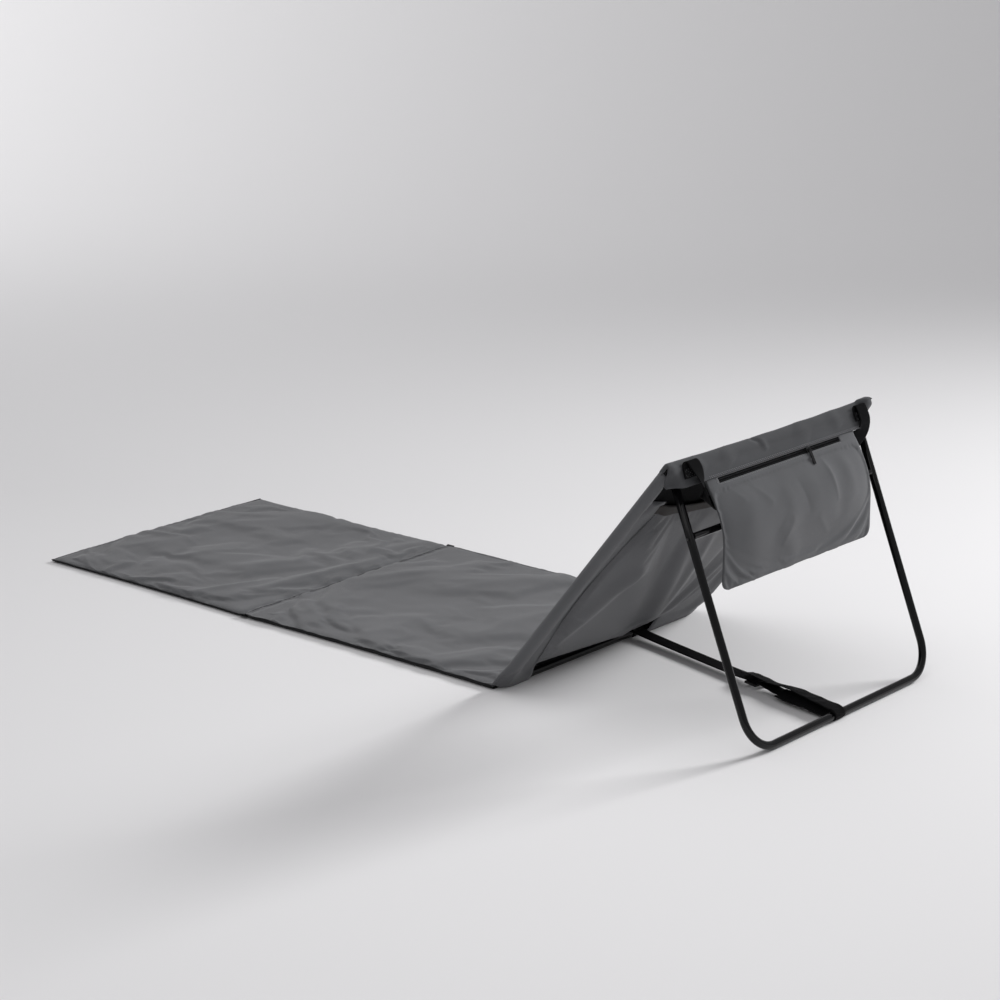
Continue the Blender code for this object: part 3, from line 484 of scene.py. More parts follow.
mat_base("foot_base", FOOT_END_Y, FOLD_Y - TAPE_HALF, FOOT_LIP, True, "foot", "foot_base_cloth")
mat_base("seat_base", FOLD_Y + TAPE_HALF, CREASE.y, SEAT_LIP, False, "seat", "seat_base_cloth")


# Fold: a black tape joins the two base cloths and its ends curl up at the sides of the mat,
# and a grey strip lies in the sewn dip above.

CURL_REACH = 0.014
CURL_TAPER = 0.35
TAPE_CURL = 0.0052
TAPE_REACH = MAT_HALF + 0.0040
STRIP_HALF = 0.0060
STRIP_REACH = MAT_HALF - 0.008
STRIP_HEIGHT = PAD_TOP - SEAM_DEPTH - 0.0020


def across_fold(name, half, height, curl, reach, material):
    """A strip along the fold, from the foot panel to the seat panel."""

    def strip(u, v):
        """A point of the strip, narrowed and lifted where its ends curl."""
        x = u * reach
        end = max(abs(x) - (reach - CURL_REACH), 0.0) / CURL_REACH
        return Vector((x, FOLD_Y + v * half * (1 - CURL_TAPER * end), height + curl * end ** 2))

    cut = (2 * reach, 2 * half)
    piece = piece_from(name, draped(70, 10, cut, strip), material, None)
    as_sheet(piece, [], BASE_THICK, -1.0)
    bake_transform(piece)


across_fold("fold_tape", TAPE_HALF - 0.0003, BASE_Z, TAPE_CURL, TAPE_REACH, BLACK_CLOTH)
across_fold("fold_strip", STRIP_HALF, STRIP_HEIGHT, 0.0, STRIP_REACH, GREY_CLOTH)


# Backrest cover: one panel of grey cloth across the front, wrapped round both side tubes and sewn back
# to itself as two sleeves. Low down the tubes bend away and the empty corners of the sleeves hang over them.

BACK_ANGLE = radians(51.5)
FRAME_SETBACK = 0.009
TUBE_RADIUS = 0.006
BEND_RADIUS = 0.050
CLOTH = 0.0008
TUBE_X = 0.2424
BAR_S = 0.00115
FRONT_DEPTH = 0.0079
SLEEVE_EDGE = TUBE_X + FRONT_DEPTH
STITCH_X = 0.2064
SEAM_END = 0.181
SEAM_DEPTH_ENDS = 0.0036
SEAM_FOOT = 0.02
SEAM_RUN = 0.37
SEAM_DRAW = 0.0030
FAR_CORNER_IN = 0.080
FAR_CORNER_TALL = 0.12
COVER_WIDE = 0.64
COVER_LOW = 0.0015
COVER_TOP = 0.4866
FRONT_SAG = 0.0050
FRONT_WANDER = 0.0012
EMPTY_FOLD = 0.0016
EMPTY_REACH = 0.012
SLEEVE_TOP = 0.413
SLEEVE_RIPPLE = 0.0007
STRIP_X = 0.214
STRIP_SLOPE = 0.48
LIE_START = 0.007
LIE_REACH = 0.016
TAUT_FROM = 0.345
TAUT_OVER = 0.035
TAUT_REACH = 0.0128
DIP_DEEP = 0.0100
DIP_FROM = 0.385
DIP_OVER = 0.040
DIP_X = 0.203
DIP_WIDE = 0.015
ROUND_TUBE = 0.0082


def on_back(x, s, behind):
    """A point of the backrest: s up from the crease, behind from the plane of the tube frame."""
    depth = FRAME_SETBACK + behind
    up, out = Vector((0, cos(BACK_ANGLE), sin(BACK_ANGLE))), Vector((0, sin(BACK_ANGLE), -cos(BACK_ANGLE)))
    return CREASE + Vector((x, 0, 0)) + up * s + out * depth


def tube_inset(s):
    """How far the bent tube lies inside its straight line at a height."""
    low = max(BEND_RADIUS - (s - BAR_S), 0.0)
    return BEND_RADIUS - sqrt(max(BEND_RADIUS ** 2 - min(low, BEND_RADIUS) ** 2, 0.0))


def off_tube(x, s):
    """Distance from a point of the backrest to the middle line of the bent tube."""
    corner_x, corner_s = TUBE_X - BEND_RADIUS, BAR_S + BEND_RADIUS
    if s >= corner_s:
        return abs(abs(x) - TUBE_X)
    if abs(x) <= corner_x:
        return abs(s - BAR_S)
    return abs(hypot(abs(x) - corner_x, s - corner_s) - BEND_RADIUS)


def seam_bow(s):
    """From 0 at the ends of a sleeve's seam to 1 half-way up."""
    return sin(pi * ramp(s, SEAM_FOOT, SEAM_RUN))


def seam_x(side, s):
    """Half width at the seam: bowed outwards half-way up, and further in at the far bottom corner."""
    low = FAR_CORNER_IN * max(1 - s / FAR_CORNER_TALL, 0.0) if side < 0 else 0.0
    return SEAM_END + (STITCH_X - SEAM_END) * seam_bow(s) - low


def inner_edge(side, s):
    """Half width where the back layer ends: at its seam, and above the cut end on a strip over the tube."""
    if s < SLEEVE_TOP:
        return seam_x(side, s)
    return min(STRIP_X + STRIP_SLOPE * (s - SLEEVE_TOP), TUBE_X)


def sewn_depth(s):
    """Depth of the seam, almost level with the tube and drawn in a little half-way up."""
    return SEAM_DEPTH_ENDS - SEAM_DRAW * seam_bow(s)


def softened(part):
    """The same share from 0 to 1 with a gentle start and end."""
    return part * part * (3 - 2 * part)


def over_tube(x, s):
    """Depth of the back layer of a sleeve, which lies over the tube and falls to the stitch line.

    Near the top it is drawn taut and dips beside the tube, to leave room for the folded leg.
    """
    reach = LIE_REACH - TAUT_REACH * ramp(s, TAUT_FROM, TAUT_OVER)
    near = 1 - ramp(off_tube(x, s), LIE_START, reach)
    dip = ramp(s, DIP_FROM, DIP_OVER) * ramp(abs(x), DIP_X, DIP_WIDE)
    sewn = sewn_depth(s) - DIP_DEEP * softened(dip)
    return sewn + (FRONT_DEPTH - sewn) * softened(near)


COVER_FOLDS = [
    ((0.225, 0.012), (0.08, 0.15), 0.016, 0.0030), ((-0.225, 0.012), (-0.10, 0.12), 0.016, 0.0026),
    ((0.22, 0.46), (0.10, 0.36), 0.018, 0.0028), ((-0.22, 0.46), (-0.06, 0.34), 0.016, 0.0026),
    ((0.10, 0.06), (0.14, 0.30), 0.014, -0.0022), ((-0.16, 0.22), (-0.10, 0.42), 0.016, -0.0020),
    ((0.20, 0.05), (-0.05, 0.16), 0.030, 0.0030), ((-0.20, 0.10), (0.02, 0.24), 0.028, -0.0026),
    ((0.18, 0.24), (-0.12, 0.34), 0.034, 0.0024), ((-0.05, 0.40), (0.16, 0.44), 0.020, 0.0018)]
WRAP_SHARE = 0.10
BACK_SHARE = 0.14
TURN_SHARE = 0.15
FRONT_SHARE = 1 - WRAP_SHARE - BACK_SHARE


def cover_point(u, v):
    """Across: front, round the tube, then back to the stitch line; along: from the crease to the top."""
    side = 1 if u >= 0 else -1
    share = abs(u)
    rise = (v + 1) / 2
    s = -COVER_LOW + (COVER_TOP + COVER_LOW) * rise
    inset = ramp(tube_inset(s), 0.0, EMPTY_REACH)
    fold = FRONT_DEPTH + (EMPTY_FOLD - FRONT_DEPTH) * inset
    fold_x, fold_depth = SLEEVE_EDGE - fold, fold - FRONT_DEPTH
    sag = FRONT_SAG * 4 * rise * (1 - rise)
    if share <= FRONT_SHARE:
        x = fold_x * share / FRONT_SHARE
        held = (1 - (x / fold_x) ** 2) ** 2
        relief = folds_at(side * x, s, COVER_FOLDS)
        relief += FRONT_WANDER * noise.noise((side * x * 11, s * 11, 7.0))
        return on_back(side * x, max(s, 0.0), -FRONT_DEPTH + held * sag - relief * held)
    if share <= FRONT_SHARE + WRAP_SHARE:
        turn = (share - FRONT_SHARE) / WRAP_SHARE * pi - pi / 2
        return on_back(side * (fold_x + fold * cos(turn)), s, fold_depth + fold * sin(turn))
    part = (share - FRONT_SHARE - WRAP_SHARE) / BACK_SHARE
    x = fold_x + (inner_edge(side, s) - fold_x) * part
    start = fold_depth + fold
    ripple = SLEEVE_RIPPLE * noise.noise((x * 40, s * 16, 1.0 + side)) * part
    round_tube = sqrt(max(ROUND_TUBE ** 2 - off_tube(x, s) ** 2, 0.0))
    depth = start + (over_tube(x, s) - start) * ramp(part, 0.0, TURN_SHARE)
    return on_back(side * x, s, (max(depth, round_tube) if round_tube else depth) + ripple)


COVER_CUT = (COVER_WIDE, COVER_TOP)
bm = draped(168, 120, COVER_CUT, cover_point)
as_sheet(piece_from("backrest_cover", bm, GREY_CLOTH, "backrest"),
         ["backrest_front_cloth", "side_sleeve_left", "side_sleeve_right"], CLOTH)


# Lining: black cloth over the thin foam inside the backrest, sewn in with the sleeves' seams.
# It is seen through the opening below the top flap. Its colour is darker than the black base cloth, as
# painted shade for that deep opening.

LINING_FOOT = 0.012
LINING_CUT = (2 * STITCH_X, COVER_TOP - 0.018)
LINING_FLARE = 0.030
FLARE_FROM = 0.45
LINING_DEPTH = 0.0052
LINING_BELLY = 0.0030
# Painted shade: a near-black colour, darker than the base cloth, stands for the shade inside the opening
# under the flap.
SHADED_LINING = cloth_finish(
    "black_lining", (0.0025, 0.0025, 0.0028), (0.005, 0.005, 0.0055), 0.9, sheen=0.0, shine=0.05)


def lining_point(u, v):
    """A point of the lining, wider towards the top and bellied a little behind the foam."""
    s = LINING_FOOT + LINING_CUT[1] * (v + 1) / 2
    x = u * (STITCH_X + LINING_FLARE * max(v - FLARE_FROM, 0.0) / (1 - FLARE_FROM))
    return on_back(x, s, -FRONT_DEPTH + LINING_DEPTH + LINING_BELLY * (1 - u * u) * (1 - v * v))


bm = draped(30, 30, LINING_CUT, lining_point)
as_sheet(piece_from("backrest_lining", bm, SHADED_LINING, "backrest"),
         ["backrest_foam"], CLOTH, -1.0)


# Back cloth: a loose grey sheet sewn along both sleeves, with big soft folds that run up from the strap.
# It is hung with spare cloth and settled under its own weight.

HEM_S = 0.0144
HEM_TOP_S = BAR_S + 0.365
HEM_SAG = 0.036
BINDING_TALL = 0.013
BACK_CUT = (2 * STITCH_X, HEM_TOP_S - HEM_S)
BACK_STAND = 0.0042
BACK_BELLY = 0.0120
BACK_EASE = 0.030
BACK_SPARE = 0.010
BACK_STEPS = 18
BACK_MOST = 0.0045
BACK_WEIGHT = 0.35
SEAM_LAP = 0.0030
BACK_FOLDS = [
    ((0.190, 0.400), (0.115, 0.215), 0.026, 0.0130), ((0.125, 0.265), (0.205, 0.090), 0.022, 0.0095),
    ((0.110, 0.400), (-0.030, 0.060), 0.028, -0.0100), ((0.050, 0.330), (-0.080, 0.020), 0.016, 0.0060),
    ((-0.030, 0.300), (-0.088, 0.010), 0.011, 0.0042), ((-0.190, 0.270), (-0.092, 0.010), 0.011, 0.0050),
    ((-0.150, 0.330), (-0.090, 0.020), 0.010, -0.0030), ((-0.200, 0.160), (-0.100, 0.010), 0.010, 0.0046),
    ((-0.196, 0.090), (-0.104, 0.012), 0.008, 0.0034)]


def hem_low(x):
    """Height of the bottom hem: pulled down at the strap and higher towards both seams."""
    near_rise = 0.10 * max(x + 0.057, 0.0)
    far_rise = 0.0100 * eased(-0.062 - x, 0.012) + 0.140 * max(-x - 0.074, 0.0)
    return HEM_S + near_rise + far_rise


def hem_top(x):
    """Height of the top hem, which sags between the sleeves."""
    return HEM_TOP_S + HEM_SAG * min(abs(x) / SEAM_END, 1.0) ** 2


def hung_depth(x, s):
    """Depth of the back cloth: from the seams out in a belly, with its folds."""
    edge = seam_x(1 if x > 0 else -1, s)
    across = min(abs(x) / edge, 1.0)
    low, top = hem_low(x), hem_top(x)
    along = 2 * (s - low) / (top - low) - 1
    held = (1 - across ** 2) * (1 - along ** 2)
    stand = sewn_depth(s) + 0.0009
    inside = eased(edge - abs(x), BACK_EASE)
    stand += (max(BACK_STAND, stand) - stand) * inside
    belly = BACK_BELLY * max(held, 0.0) * (1 - 0.25 * (1 + along))
    loose = inside * eased(top - s, 0.060) * (0.35 + 0.65 * eased(s - low, 0.05))
    return max(stand + belly + folds_at(x, s, BACK_FOLDS) * loose, stand - 0.002 * across ** 4)


def back_point(u, v):
    """A point of the back cloth, from its bottom hem to the binding and just past both seams."""
    side = 1 if u > 0 else -1
    share = abs(sin(u * pi / 2))
    low, top = hem_low(side * share * SEAM_END), hem_top(share * SEAM_END)
    s = low + (top - BINDING_TALL - low) * (v + 1) / 2
    x = side * share * (seam_x(side, s) + SEAM_LAP)
    return on_back(x, s, hung_depth(x, s) + 0.0004 * share ** 8)


bm = draped(90, 84, BACK_CUT, back_point)
held = [vert.index for vert in bm.verts if vert.is_boundary]
back_cloth = piece_from("back_sheet", bm, GREY_CLOTH)
settle(back_cloth, held, BACK_SPARE, BACK_STEPS, BACK_MOST, BACK_WEIGHT)
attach(back_cloth, "backrest")
as_sheet(back_cloth, ["back_cloth"], CLOTH)


# Binding: a brown-grey tape folded over the top hem of the back cloth and sewn through,
# its two ends tucked under the sleeves.

BINDING = cloth_finish(
    "brown_grey_binding", (0.026, 0.0232, 0.0225), (0.042, 0.038, 0.036), 0.80, 900.0, 2400.0,
    sheen=0.03, shine=0.2)
BINDING_CUT = (2 * STITCH_X, 2 * BINDING_TALL)
BINDING_THICK = 0.0006
BINDING_HALF = SEAM_END + 0.011
BINDING_FACE = 0.0009
BINDING_LAP = 0.003
FOLD_SHARE = 0.1
TUCK_DEEP = 0.0042
TUCK_WIDE = 0.013


def binding_point(u, v):
    """Round the hem: down the back face, over the top and down the front face."""
    x = sin(u * pi / 2) * BINDING_HALF
    turn = ramp(v, -FOLD_SHARE, 2 * FOLD_SHARE) * pi
    down = max(abs(v) - FOLD_SHARE, 0.0) / (1 - FOLD_SHARE) * (BINDING_TALL + BINDING_LAP)
    s = hem_top(x) - BINDING_FACE - down + BINDING_FACE * sin(turn)
    tuck = TUCK_DEEP * (1 - eased(BINDING_HALF - abs(x), TUCK_WIDE))
    return on_back(x, s, hung_depth(x, min(s, hem_top(x))) + BINDING_FACE * cos(turn) - tuck)


bm = draped(60, 20, BINDING_CUT, binding_point)
as_sheet(piece_from("back_binding", bm, BINDING, "backrest"),
         ["back_cloth_binding"], BINDING_THICK, -1.0)


# Top flap: the grey hem that turns over the top edge and hangs behind the leg tops. It sags between
# the tubes, has one sharp dent, and its far corner is crumpled to a point.

BACK_LENGTH = 0.482
FLAP_HALF = 0.2509
FLAP_SAG = 0.005
FLAP_CREST = BAR_S + BACK_LENGTH + 0.0157
FLAP_HEM = (FLAP_CREST - 0.0122, 0.0243)


def smoothed(points, rounds=3):
    """A polyline with its corners cut off again and again, which leaves a smooth curve."""
    for _ in range(rounds):
        inner = [near.lerp(far, part) for near, far in zip(points, points[1:]) for part in (0.25, 0.75)]
        points = [points[0], *inner, points[-1]]
    return points


def spaced(points, count):
    """The same polyline as evenly spaced points."""
    lengths = [0.0]
    for near, far in zip(points, points[1:]):
        lengths.append(lengths[-1] + (far - near).length)
    places, index = [], 0
    for step in range(count + 1):
        goal = lengths[-1] * step / count
        while index < len(points) - 2 and lengths[index + 1] < goal:
            index += 1
        part = (goal - lengths[index]) / max(lengths[index + 1] - lengths[index], 1e-9)
        places.append(points[index].lerp(points[index + 1], min(part, 1.0)))
    return places


HEM_ROW = 36
FLAP_ROWS = 40
FLAP_LONG = 0.062
FLAP_CUT = (2 * FLAP_HALF, FLAP_LONG)
FLAP_FRONT = -FRONT_DEPTH - 0.0009
FLAP_WANDER = 0.0007
SEWN_ROWS = 8
HANG_FROM = 0.45
EAR_X = 0.222
EAR_WIDE = 0.027
EAR_OUT = 0.003
EAR_UP = 0.0065
EAR_CRUMPLE = 0.0022
WRAP_X = 0.226
WRAP_WIDE = 0.024
WRAP_MOVE = Vector((-0.0060, -0.0100))
NEAR_FLARE = 0.0055
PLUG_WIDE = 0.010
PLUG_UP = 0.0024
PLUG_OUT = 0.0038
flap_line = spaced(smoothed([
    Vector((0.4825, FLAP_FRONT)), Vector((0.4890, FLAP_FRONT)), Vector((FLAP_CREST, FLAP_FRONT)),
    Vector((FLAP_CREST, 0.0045)), Vector((FLAP_CREST - 0.0046, 0.0105)),
    Vector(FLAP_HEM) + Vector((0.0024, 0.0004)), Vector(FLAP_HEM) + Vector((0.0024, 0.0058))]), FLAP_ROWS)
FLAP_FOLDS = [
    ((0.046, 0.018), (0.030, 0.030), 0.0042, -0.0026), ((0.026, 0.026), (0.020, 0.046), 0.0060, 0.0018),
    ((0.120, 0.022), (0.105, 0.048), 0.0160, 0.0016), ((-0.060, 0.024), (-0.085, 0.050), 0.0200, 0.0014),
    ((-0.150, 0.020), (-0.165, 0.050), 0.0140, 0.0018), ((0.190, 0.020), (0.170, 0.046), 0.0080, 0.0020),
    ((-0.226, 0.018), (-0.240, 0.030), 0.0060, 0.0036), ((-0.236, 0.022), (-0.216, 0.040), 0.0050, -0.0022)]


def bump_at(value, middle, width):
    """A round bump of height 1 at its middle."""
    return exp(-((value - middle) / width) ** 2)


def flap_point(x, row, lift=0.0):
    """A point of the flap, lifted off its outer face, at a row between its first and last."""
    low = min(int(row), FLAP_ROWS - 1)
    place = flap_line[low].lerp(flap_line[low + 1], row - low)
    along = (flap_line[low + 1] - flap_line[low]).normalized()
    out = Vector((along.y, -along.x))
    free = ramp(row, 0.0, SEWN_ROWS)
    hanging = ramp(row / HEM_ROW, HANG_FROM, 1 - HANG_FROM)
    sag = FLAP_SAG * ((1 - (x / FLAP_HALF) ** 2) * (1 - hanging) + hanging) * free
    far = max(-x - EAR_X, 0.0) / EAR_WIDE
    ear = softened(far) * bump_at(row, 15, 8)
    relief = folds_at(x, row / FLAP_ROWS * FLAP_LONG, FLAP_FOLDS) * free
    relief += FLAP_WANDER * noise.noise((x * 24, row * 0.14, 3.0)) * free + lift
    place = place + out * relief
    end = ramp(abs(x), TUBE_X, FLAP_HALF - TUBE_X)
    if place.y < 0.0:
        place.y *= sqrt(1 - end ** 2)
    place += WRAP_MOVE * (softened(ramp(abs(x), WRAP_X, WRAP_WIDE)) * hanging)
    crumple = EAR_CRUMPLE * far * noise.noise((x * 70, row * 0.24, 6.0))
    flare = NEAR_FLARE * end * hanging * (x > 0)
    over_plug = bump_at(abs(x), TUBE_X, PLUG_WIDE)
    place.x += PLUG_UP * over_plug * bump_at(row, 19, 7)
    place.y += PLUG_OUT * over_plug * bump_at(row, 23, 5)
    return on_back(x - EAR_OUT * ear + flare, place.x - sag + EAR_UP * ear + crumple, place.y + crumple)


bm = draped(150, FLAP_ROWS, FLAP_CUT, lambda u, v: flap_point(u * FLAP_HALF, (v + 1) / 2 * FLAP_ROWS))
# Painted shade: the flap is the same grey cloth as the cover, made darker to stand for the shade on its hang.
FLAP_SHADED_CLOTH = cloth_finish(
    "grey_hem_cloth", (0.048, 0.049, 0.052), (0.070, 0.0715, 0.076), 0.66, sheen=0.06, shine=0.25)
top_flap = piece_from("top_flap_cloth", bm, FLAP_SHADED_CLOTH, None)
as_sheet(top_flap, ["top_flap"], CLOTH)
HEM = on_back(0, FLAP_HEM[0] - FLAP_SAG, FLAP_HEM[1] + 0.0003)
POCKET_LEAN = radians(28.0)
DOWN = Vector((0, sin(POCKET_LEAN), -cos(POCKET_LEAN)))
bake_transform(top_flap)


# Pocket: a flat bag of two grey panels hung from the flap's hem and sewn round its sides and bottom,
# with a slot for the zip near the top. The outer panel is settled with a little spare cloth.

POCKET_HALF = 0.185
POCKET_SHIFT = -0.008
POCKET_UPPER = 0.075
POCKET_TALL = 0.167
POCKET_FULL = 0.0120
POCKET_CORNER = 0.015
SLOT_TOP = 0.0052
SLOT_LOW = 0.0130
SLOT_HALF = 0.1515
SLOT_HELD = 0.0075
POCKET_ROWS = 70
SLOT_FIRST = 2
SLOT_LAST = 6
KNEE_REACH = 0.030
KNEE_EASE = 0.0036
KNEE_TURN = 0.02
SIDE_IN = 0.002
POCKET_WANDER = 0.0012
FAR_OUT = 0.0070
SEWN_PROUD = 0.0011
SLOT_PROUD = 0.0021
INNER_RIPPLE = 0.0007
INNER_BACK = 0.0004
POCKET_SPARE = 0.012
POCKET_STEPS = 16
POCKET_MOST = 0.0026
POCKET_WEIGHT = 0.25
POCKET_CUT = (2 * POCKET_HALF, POCKET_TALL)
POCKET_FOLDS = [
    ((0.034, 0.040), (0.022, 0.108), 0.0150, 0.0010), ((-0.122, 0.016), (-0.136, 0.096), 0.0150, 0.0018),
    ((-0.088, 0.058), (-0.104, 0.116), 0.0170, -0.0014), ((0.110, 0.030), (0.138, 0.118), 0.0190, 0.0014),
    ((0.056, 0.094), (0.006, 0.150), 0.0170, 0.0012), ((-0.166, 0.074), (-0.148, 0.144), 0.0180, 0.0012)]
POCKET_CREASES = [
    ((0.098, 0.030), (0.066, 0.066), 0.0085, 0.0011), ((-0.004, 0.044), (-0.016, 0.094), 0.0100, -0.0010),
    ((-0.080, 0.020), (-0.088, 0.092), 0.0075, 0.0020), ((0.024, 0.088), (0.050, 0.128), 0.0095, 0.0011),
    ((-0.036, 0.100), (-0.070, 0.136), 0.0100, 0.0009), ((0.152, 0.012), (0.122, 0.052), 0.0080, 0.0013)]


def pocket_place(x, drop, proud):
    """A point of the pocket: below the hem, first sloping out and then straight down."""
    upper, lower = min(drop, POCKET_UPPER), max(drop - POCKET_UPPER, 0.0)
    knee = max(0.0, 1 - abs(drop - POCKET_UPPER) / KNEE_REACH)
    out = upper * sin(POCKET_LEAN) - KNEE_EASE * knee ** 2
    slope = POCKET_LEAN * (1 - ramp(drop, POCKET_UPPER - KNEE_TURN, 2 * KNEE_TURN))
    down = upper * cos(POCKET_LEAN) + lower
    return HEM + Vector((x, out + proud * cos(slope), -down + proud * sin(slope)))


def pocket_drop(row):
    """The drop of a row: two rows above the zip slot, four across it and the rest below."""
    if row <= SLOT_FIRST:
        return SLOT_TOP * row / SLOT_FIRST
    if row <= SLOT_LAST:
        return SLOT_TOP + (SLOT_LOW - SLOT_TOP) * (row - SLOT_FIRST) / (SLOT_LAST - SLOT_FIRST)
    return SLOT_LOW + (POCKET_TALL - SLOT_LOW) * (row - SLOT_LAST) / (POCKET_ROWS - SLOT_LAST)


def pocket_half(drop):
    """Half width at a drop: rounded bottom corners, and sides drawn in a little."""
    left = max(POCKET_CORNER - (POCKET_TALL - drop), 0.0)
    corner = POCKET_CORNER - sqrt(POCKET_CORNER ** 2 - left ** 2)
    return POCKET_HALF - corner - SIDE_IN * sin(pi * drop / POCKET_TALL)


def outer_panel(u, v):
    """A point of the outer panel: flat round its sewn edges and the slot, full and folded below."""
    drop = pocket_drop((1 - v) / 2 * POCKET_ROWS)
    x = u * pocket_half(drop)
    below = max(drop - SLOT_LOW, 0.0) / (POCKET_TALL - SLOT_LOW)
    full = (1 - u ** 4) * max(sin(pi * below ** 0.9), 0.0)
    free = (1 - u ** 4) * eased(1 - below, 0.15) * ramp(below, 0.0, 0.2)
    relief = folds_at(x, drop, POCKET_FOLDS) + folds_at(x, drop, POCKET_CREASES, True)
    relief = (relief + POCKET_WANDER * noise.noise((x * 22, drop * 18, 5.0))) * free
    relief += FAR_OUT * ramp(-x, 0.03, 0.15) ** 2 * sqrt(below) * (1 - 0.6 * below)
    sewn = SEWN_PROUD + SLOT_PROUD * eased(drop, 0.004) * (1 - u ** 16) * (1 - below)
    fullness = POCKET_FULL * full
    return pocket_place(POCKET_SHIFT + x, drop, sewn + fullness + max(relief, -0.5 * fullness))


def inner_panel(u, v):
    """A point of the inner panel, almost flat."""
    drop = pocket_drop((1 - v) / 2 * POCKET_ROWS)
    ripple = INNER_RIPPLE * noise.noise((u * 5, drop * 20, 8.0)) * (1 - u ** 4)
    return pocket_place(POCKET_SHIFT + u * pocket_half(drop), drop, min(ripple, 0.0) - INNER_BACK)


bm = draped(150, POCKET_ROWS, POCKET_CUT, outer_panel)
cut = bm.loops.layers.uv["cut"]
slot_faces = []
for face in bm.faces:
    row = sum(0.5 - loop[cut].uv.y / POCKET_TALL for loop in face.loops) / 4 * POCKET_ROWS
    if SLOT_FIRST < row < SLOT_LAST and abs(face.calc_center_median().x) < SLOT_HALF:
        slot_faces.append(face)
bmesh.ops.delete(bm, geom=slot_faces, context="FACES")
bm.verts.index_update()
held_drop = SLOT_LOW + SLOT_HELD
held = [vert.index for vert in bm.verts if vert.is_boundary or (vert.co - HEM).dot(DOWN) < held_drop]
pocket_front = piece_from("pocket_front", bm, GREY_CLOTH)
settle(pocket_front, held, POCKET_SPARE, POCKET_STEPS, POCKET_MOST, POCKET_WEIGHT)
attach(pocket_front, "pocket")
as_sheet(pocket_front, ["pocket_outer_panel"], CLOTH)
bm = draped(40, POCKET_ROWS, POCKET_CUT, inner_panel)
as_sheet(piece_from("pocket_back", bm, GREY_CLOTH, "pocket"),
         ["pocket_inner_panel"], CLOTH)


# Zip: black tapes and coil behind the pocket's slot, with a dark metal slider and its pull.
# The coil is two rows of small teeth that lock into each other.

def plain_finish(name, colour, roughness, metallic=0.0, grain=900.0, uneven=0.10, shine=0.5):
    """A hard surface whose roughness and tone vary a little over its length."""
    material = bpy.data.materials.new(name)
    material.use_nodes = True
    nodes, links = material.node_tree.nodes, material.node_tree.links
    shader = nodes["Principled BSDF"]
    shader.inputs["Metallic"].default_value = metallic
    shader.inputs["Specular IOR Level"].default_value = shine
    mottle = nodes.new("ShaderNodeGroup")
    mottle.node_tree = MOTTLE
    mottle.inputs["Slow"].default_value = 30.0
    mottle.inputs["Fast"].default_value = grain
    tone = nodes.new("ShaderNodeMix")
    tone.data_type = "RGBA"
    tone.inputs["A"].default_value = (*[part * 0.8 for part in colour], 1.0)
    tone.inputs["B"].default_value = (*[part * 1.2 for part in colour], 1.0)
    links.new(mottle.outputs["Shade"], tone.inputs["Factor"])
    links.new(tone.outputs["Result"], shader.inputs["Base Color"])
    rough = value_node(nodes, "MULTIPLY", mottle.outputs["Nap"], 2 * uneven)
    links.new(value_node(nodes, "ADD", rough, roughness - uneven), shader.inputs["Roughness"])
    bump = nodes.new("ShaderNodeBump")
    bump.inputs["Strength"].default_value = 0.12
    bump.inputs["Distance"].default_value = 0.0001
    links.new(mottle.outputs["Nap"], bump.inputs["Height"])
    links.new(bump.outputs["Normal"], shader.inputs["Normal"])
    return material


WEBBING = cloth_finish(
    "black_webbing", (0.0022, 0.0022, 0.0025), (0.0055, 0.0055, 0.006), 0.72, 500.0, 380.0, 0.0004, 0.0, 0.12)
BLACK_PLASTIC = plain_finish("black_plastic", (0.006, 0.006, 0.0065), 0.42, shine=0.25)
ZIP_METAL = plain_finish("dark_zip_metal", (0.035, 0.035, 0.036), 0.24, 0.8)
ZIP_DROP = 0.0095
TOOTH_PITCH = 0.00125
TOOTH_ASIDE = 0.00035
TOOTH_PROUD = 0.0027
TOOTH_SIZE = Matrix.Diagonal((0.00052, 0.00068, 0.0016, 1.0))
COIL_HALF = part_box("zip_coil")[1][0]


def dress(material, *names):
    """Give solids that stay in view their surface."""
    for name in names:
        solid = bpy.data.objects[name]
        solid.data.materials.clear()
        solid.data.materials.append(material)


dress(WEBBING, "zip_tape_upper", "zip_tape_lower")
dress(ZIP_METAL, "zip_slider", "zip_pull")


def repeated(name, shape, matrices, material, body):
    """Many copies of one small shape as a single piece."""
    corners = [vert.co.copy() for vert in shape.verts]
    loops = [[vert.index for vert in face.verts] for face in shape.faces]
    places = [matrix @ corner for matrix in matrices for corner in corners]
    count = len(corners)
    faces = [[index + turn * count for index in loop] for turn in range(len(matrices)) for loop in loops]
    mesh = bpy.data.meshes.new(name)
    mesh.from_pydata(places, [], faces)
    bm = bmesh.new()
    bm.from_mesh(mesh)
    bpy.data.meshes.remove(mesh)
    return piece_from(name, bm, material, body)


def bead():
    """A small round shape of unit radius."""
    shape = bmesh.new()
    bmesh.ops.create_uvsphere(shape, u_segments=6, v_segments=4, radius=1.0)
    shape.verts.index_update()
    return shape


BEAD = bead()
slope = Matrix.Rotation(POCKET_LEAN, 4, "X")
tooth_matrices = []
for tooth in range(int(2 * COIL_HALF / TOOTH_PITCH)):
    x = -COIL_HALF + (tooth + 0.5) * TOOTH_PITCH
    aside = TOOTH_ASIDE if tooth % 2 else -TOOTH_ASIDE
    tooth_place = Matrix.Translation(pocket_place(x, ZIP_DROP + aside, TOOTH_PROUD))
    tooth_matrices.append(tooth_place @ slope @ TOOTH_SIZE)
zip_teeth = repeated("zip_teeth", BEAD, tooth_matrices, BLACK_PLASTIC, "pocket")
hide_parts("zip_coil")


# Stitches: grey thread in rows of short stitches on the flap's hem, round the zip slot and along both
# sleeves. The rows on the hem and the slot ride with the pocket.

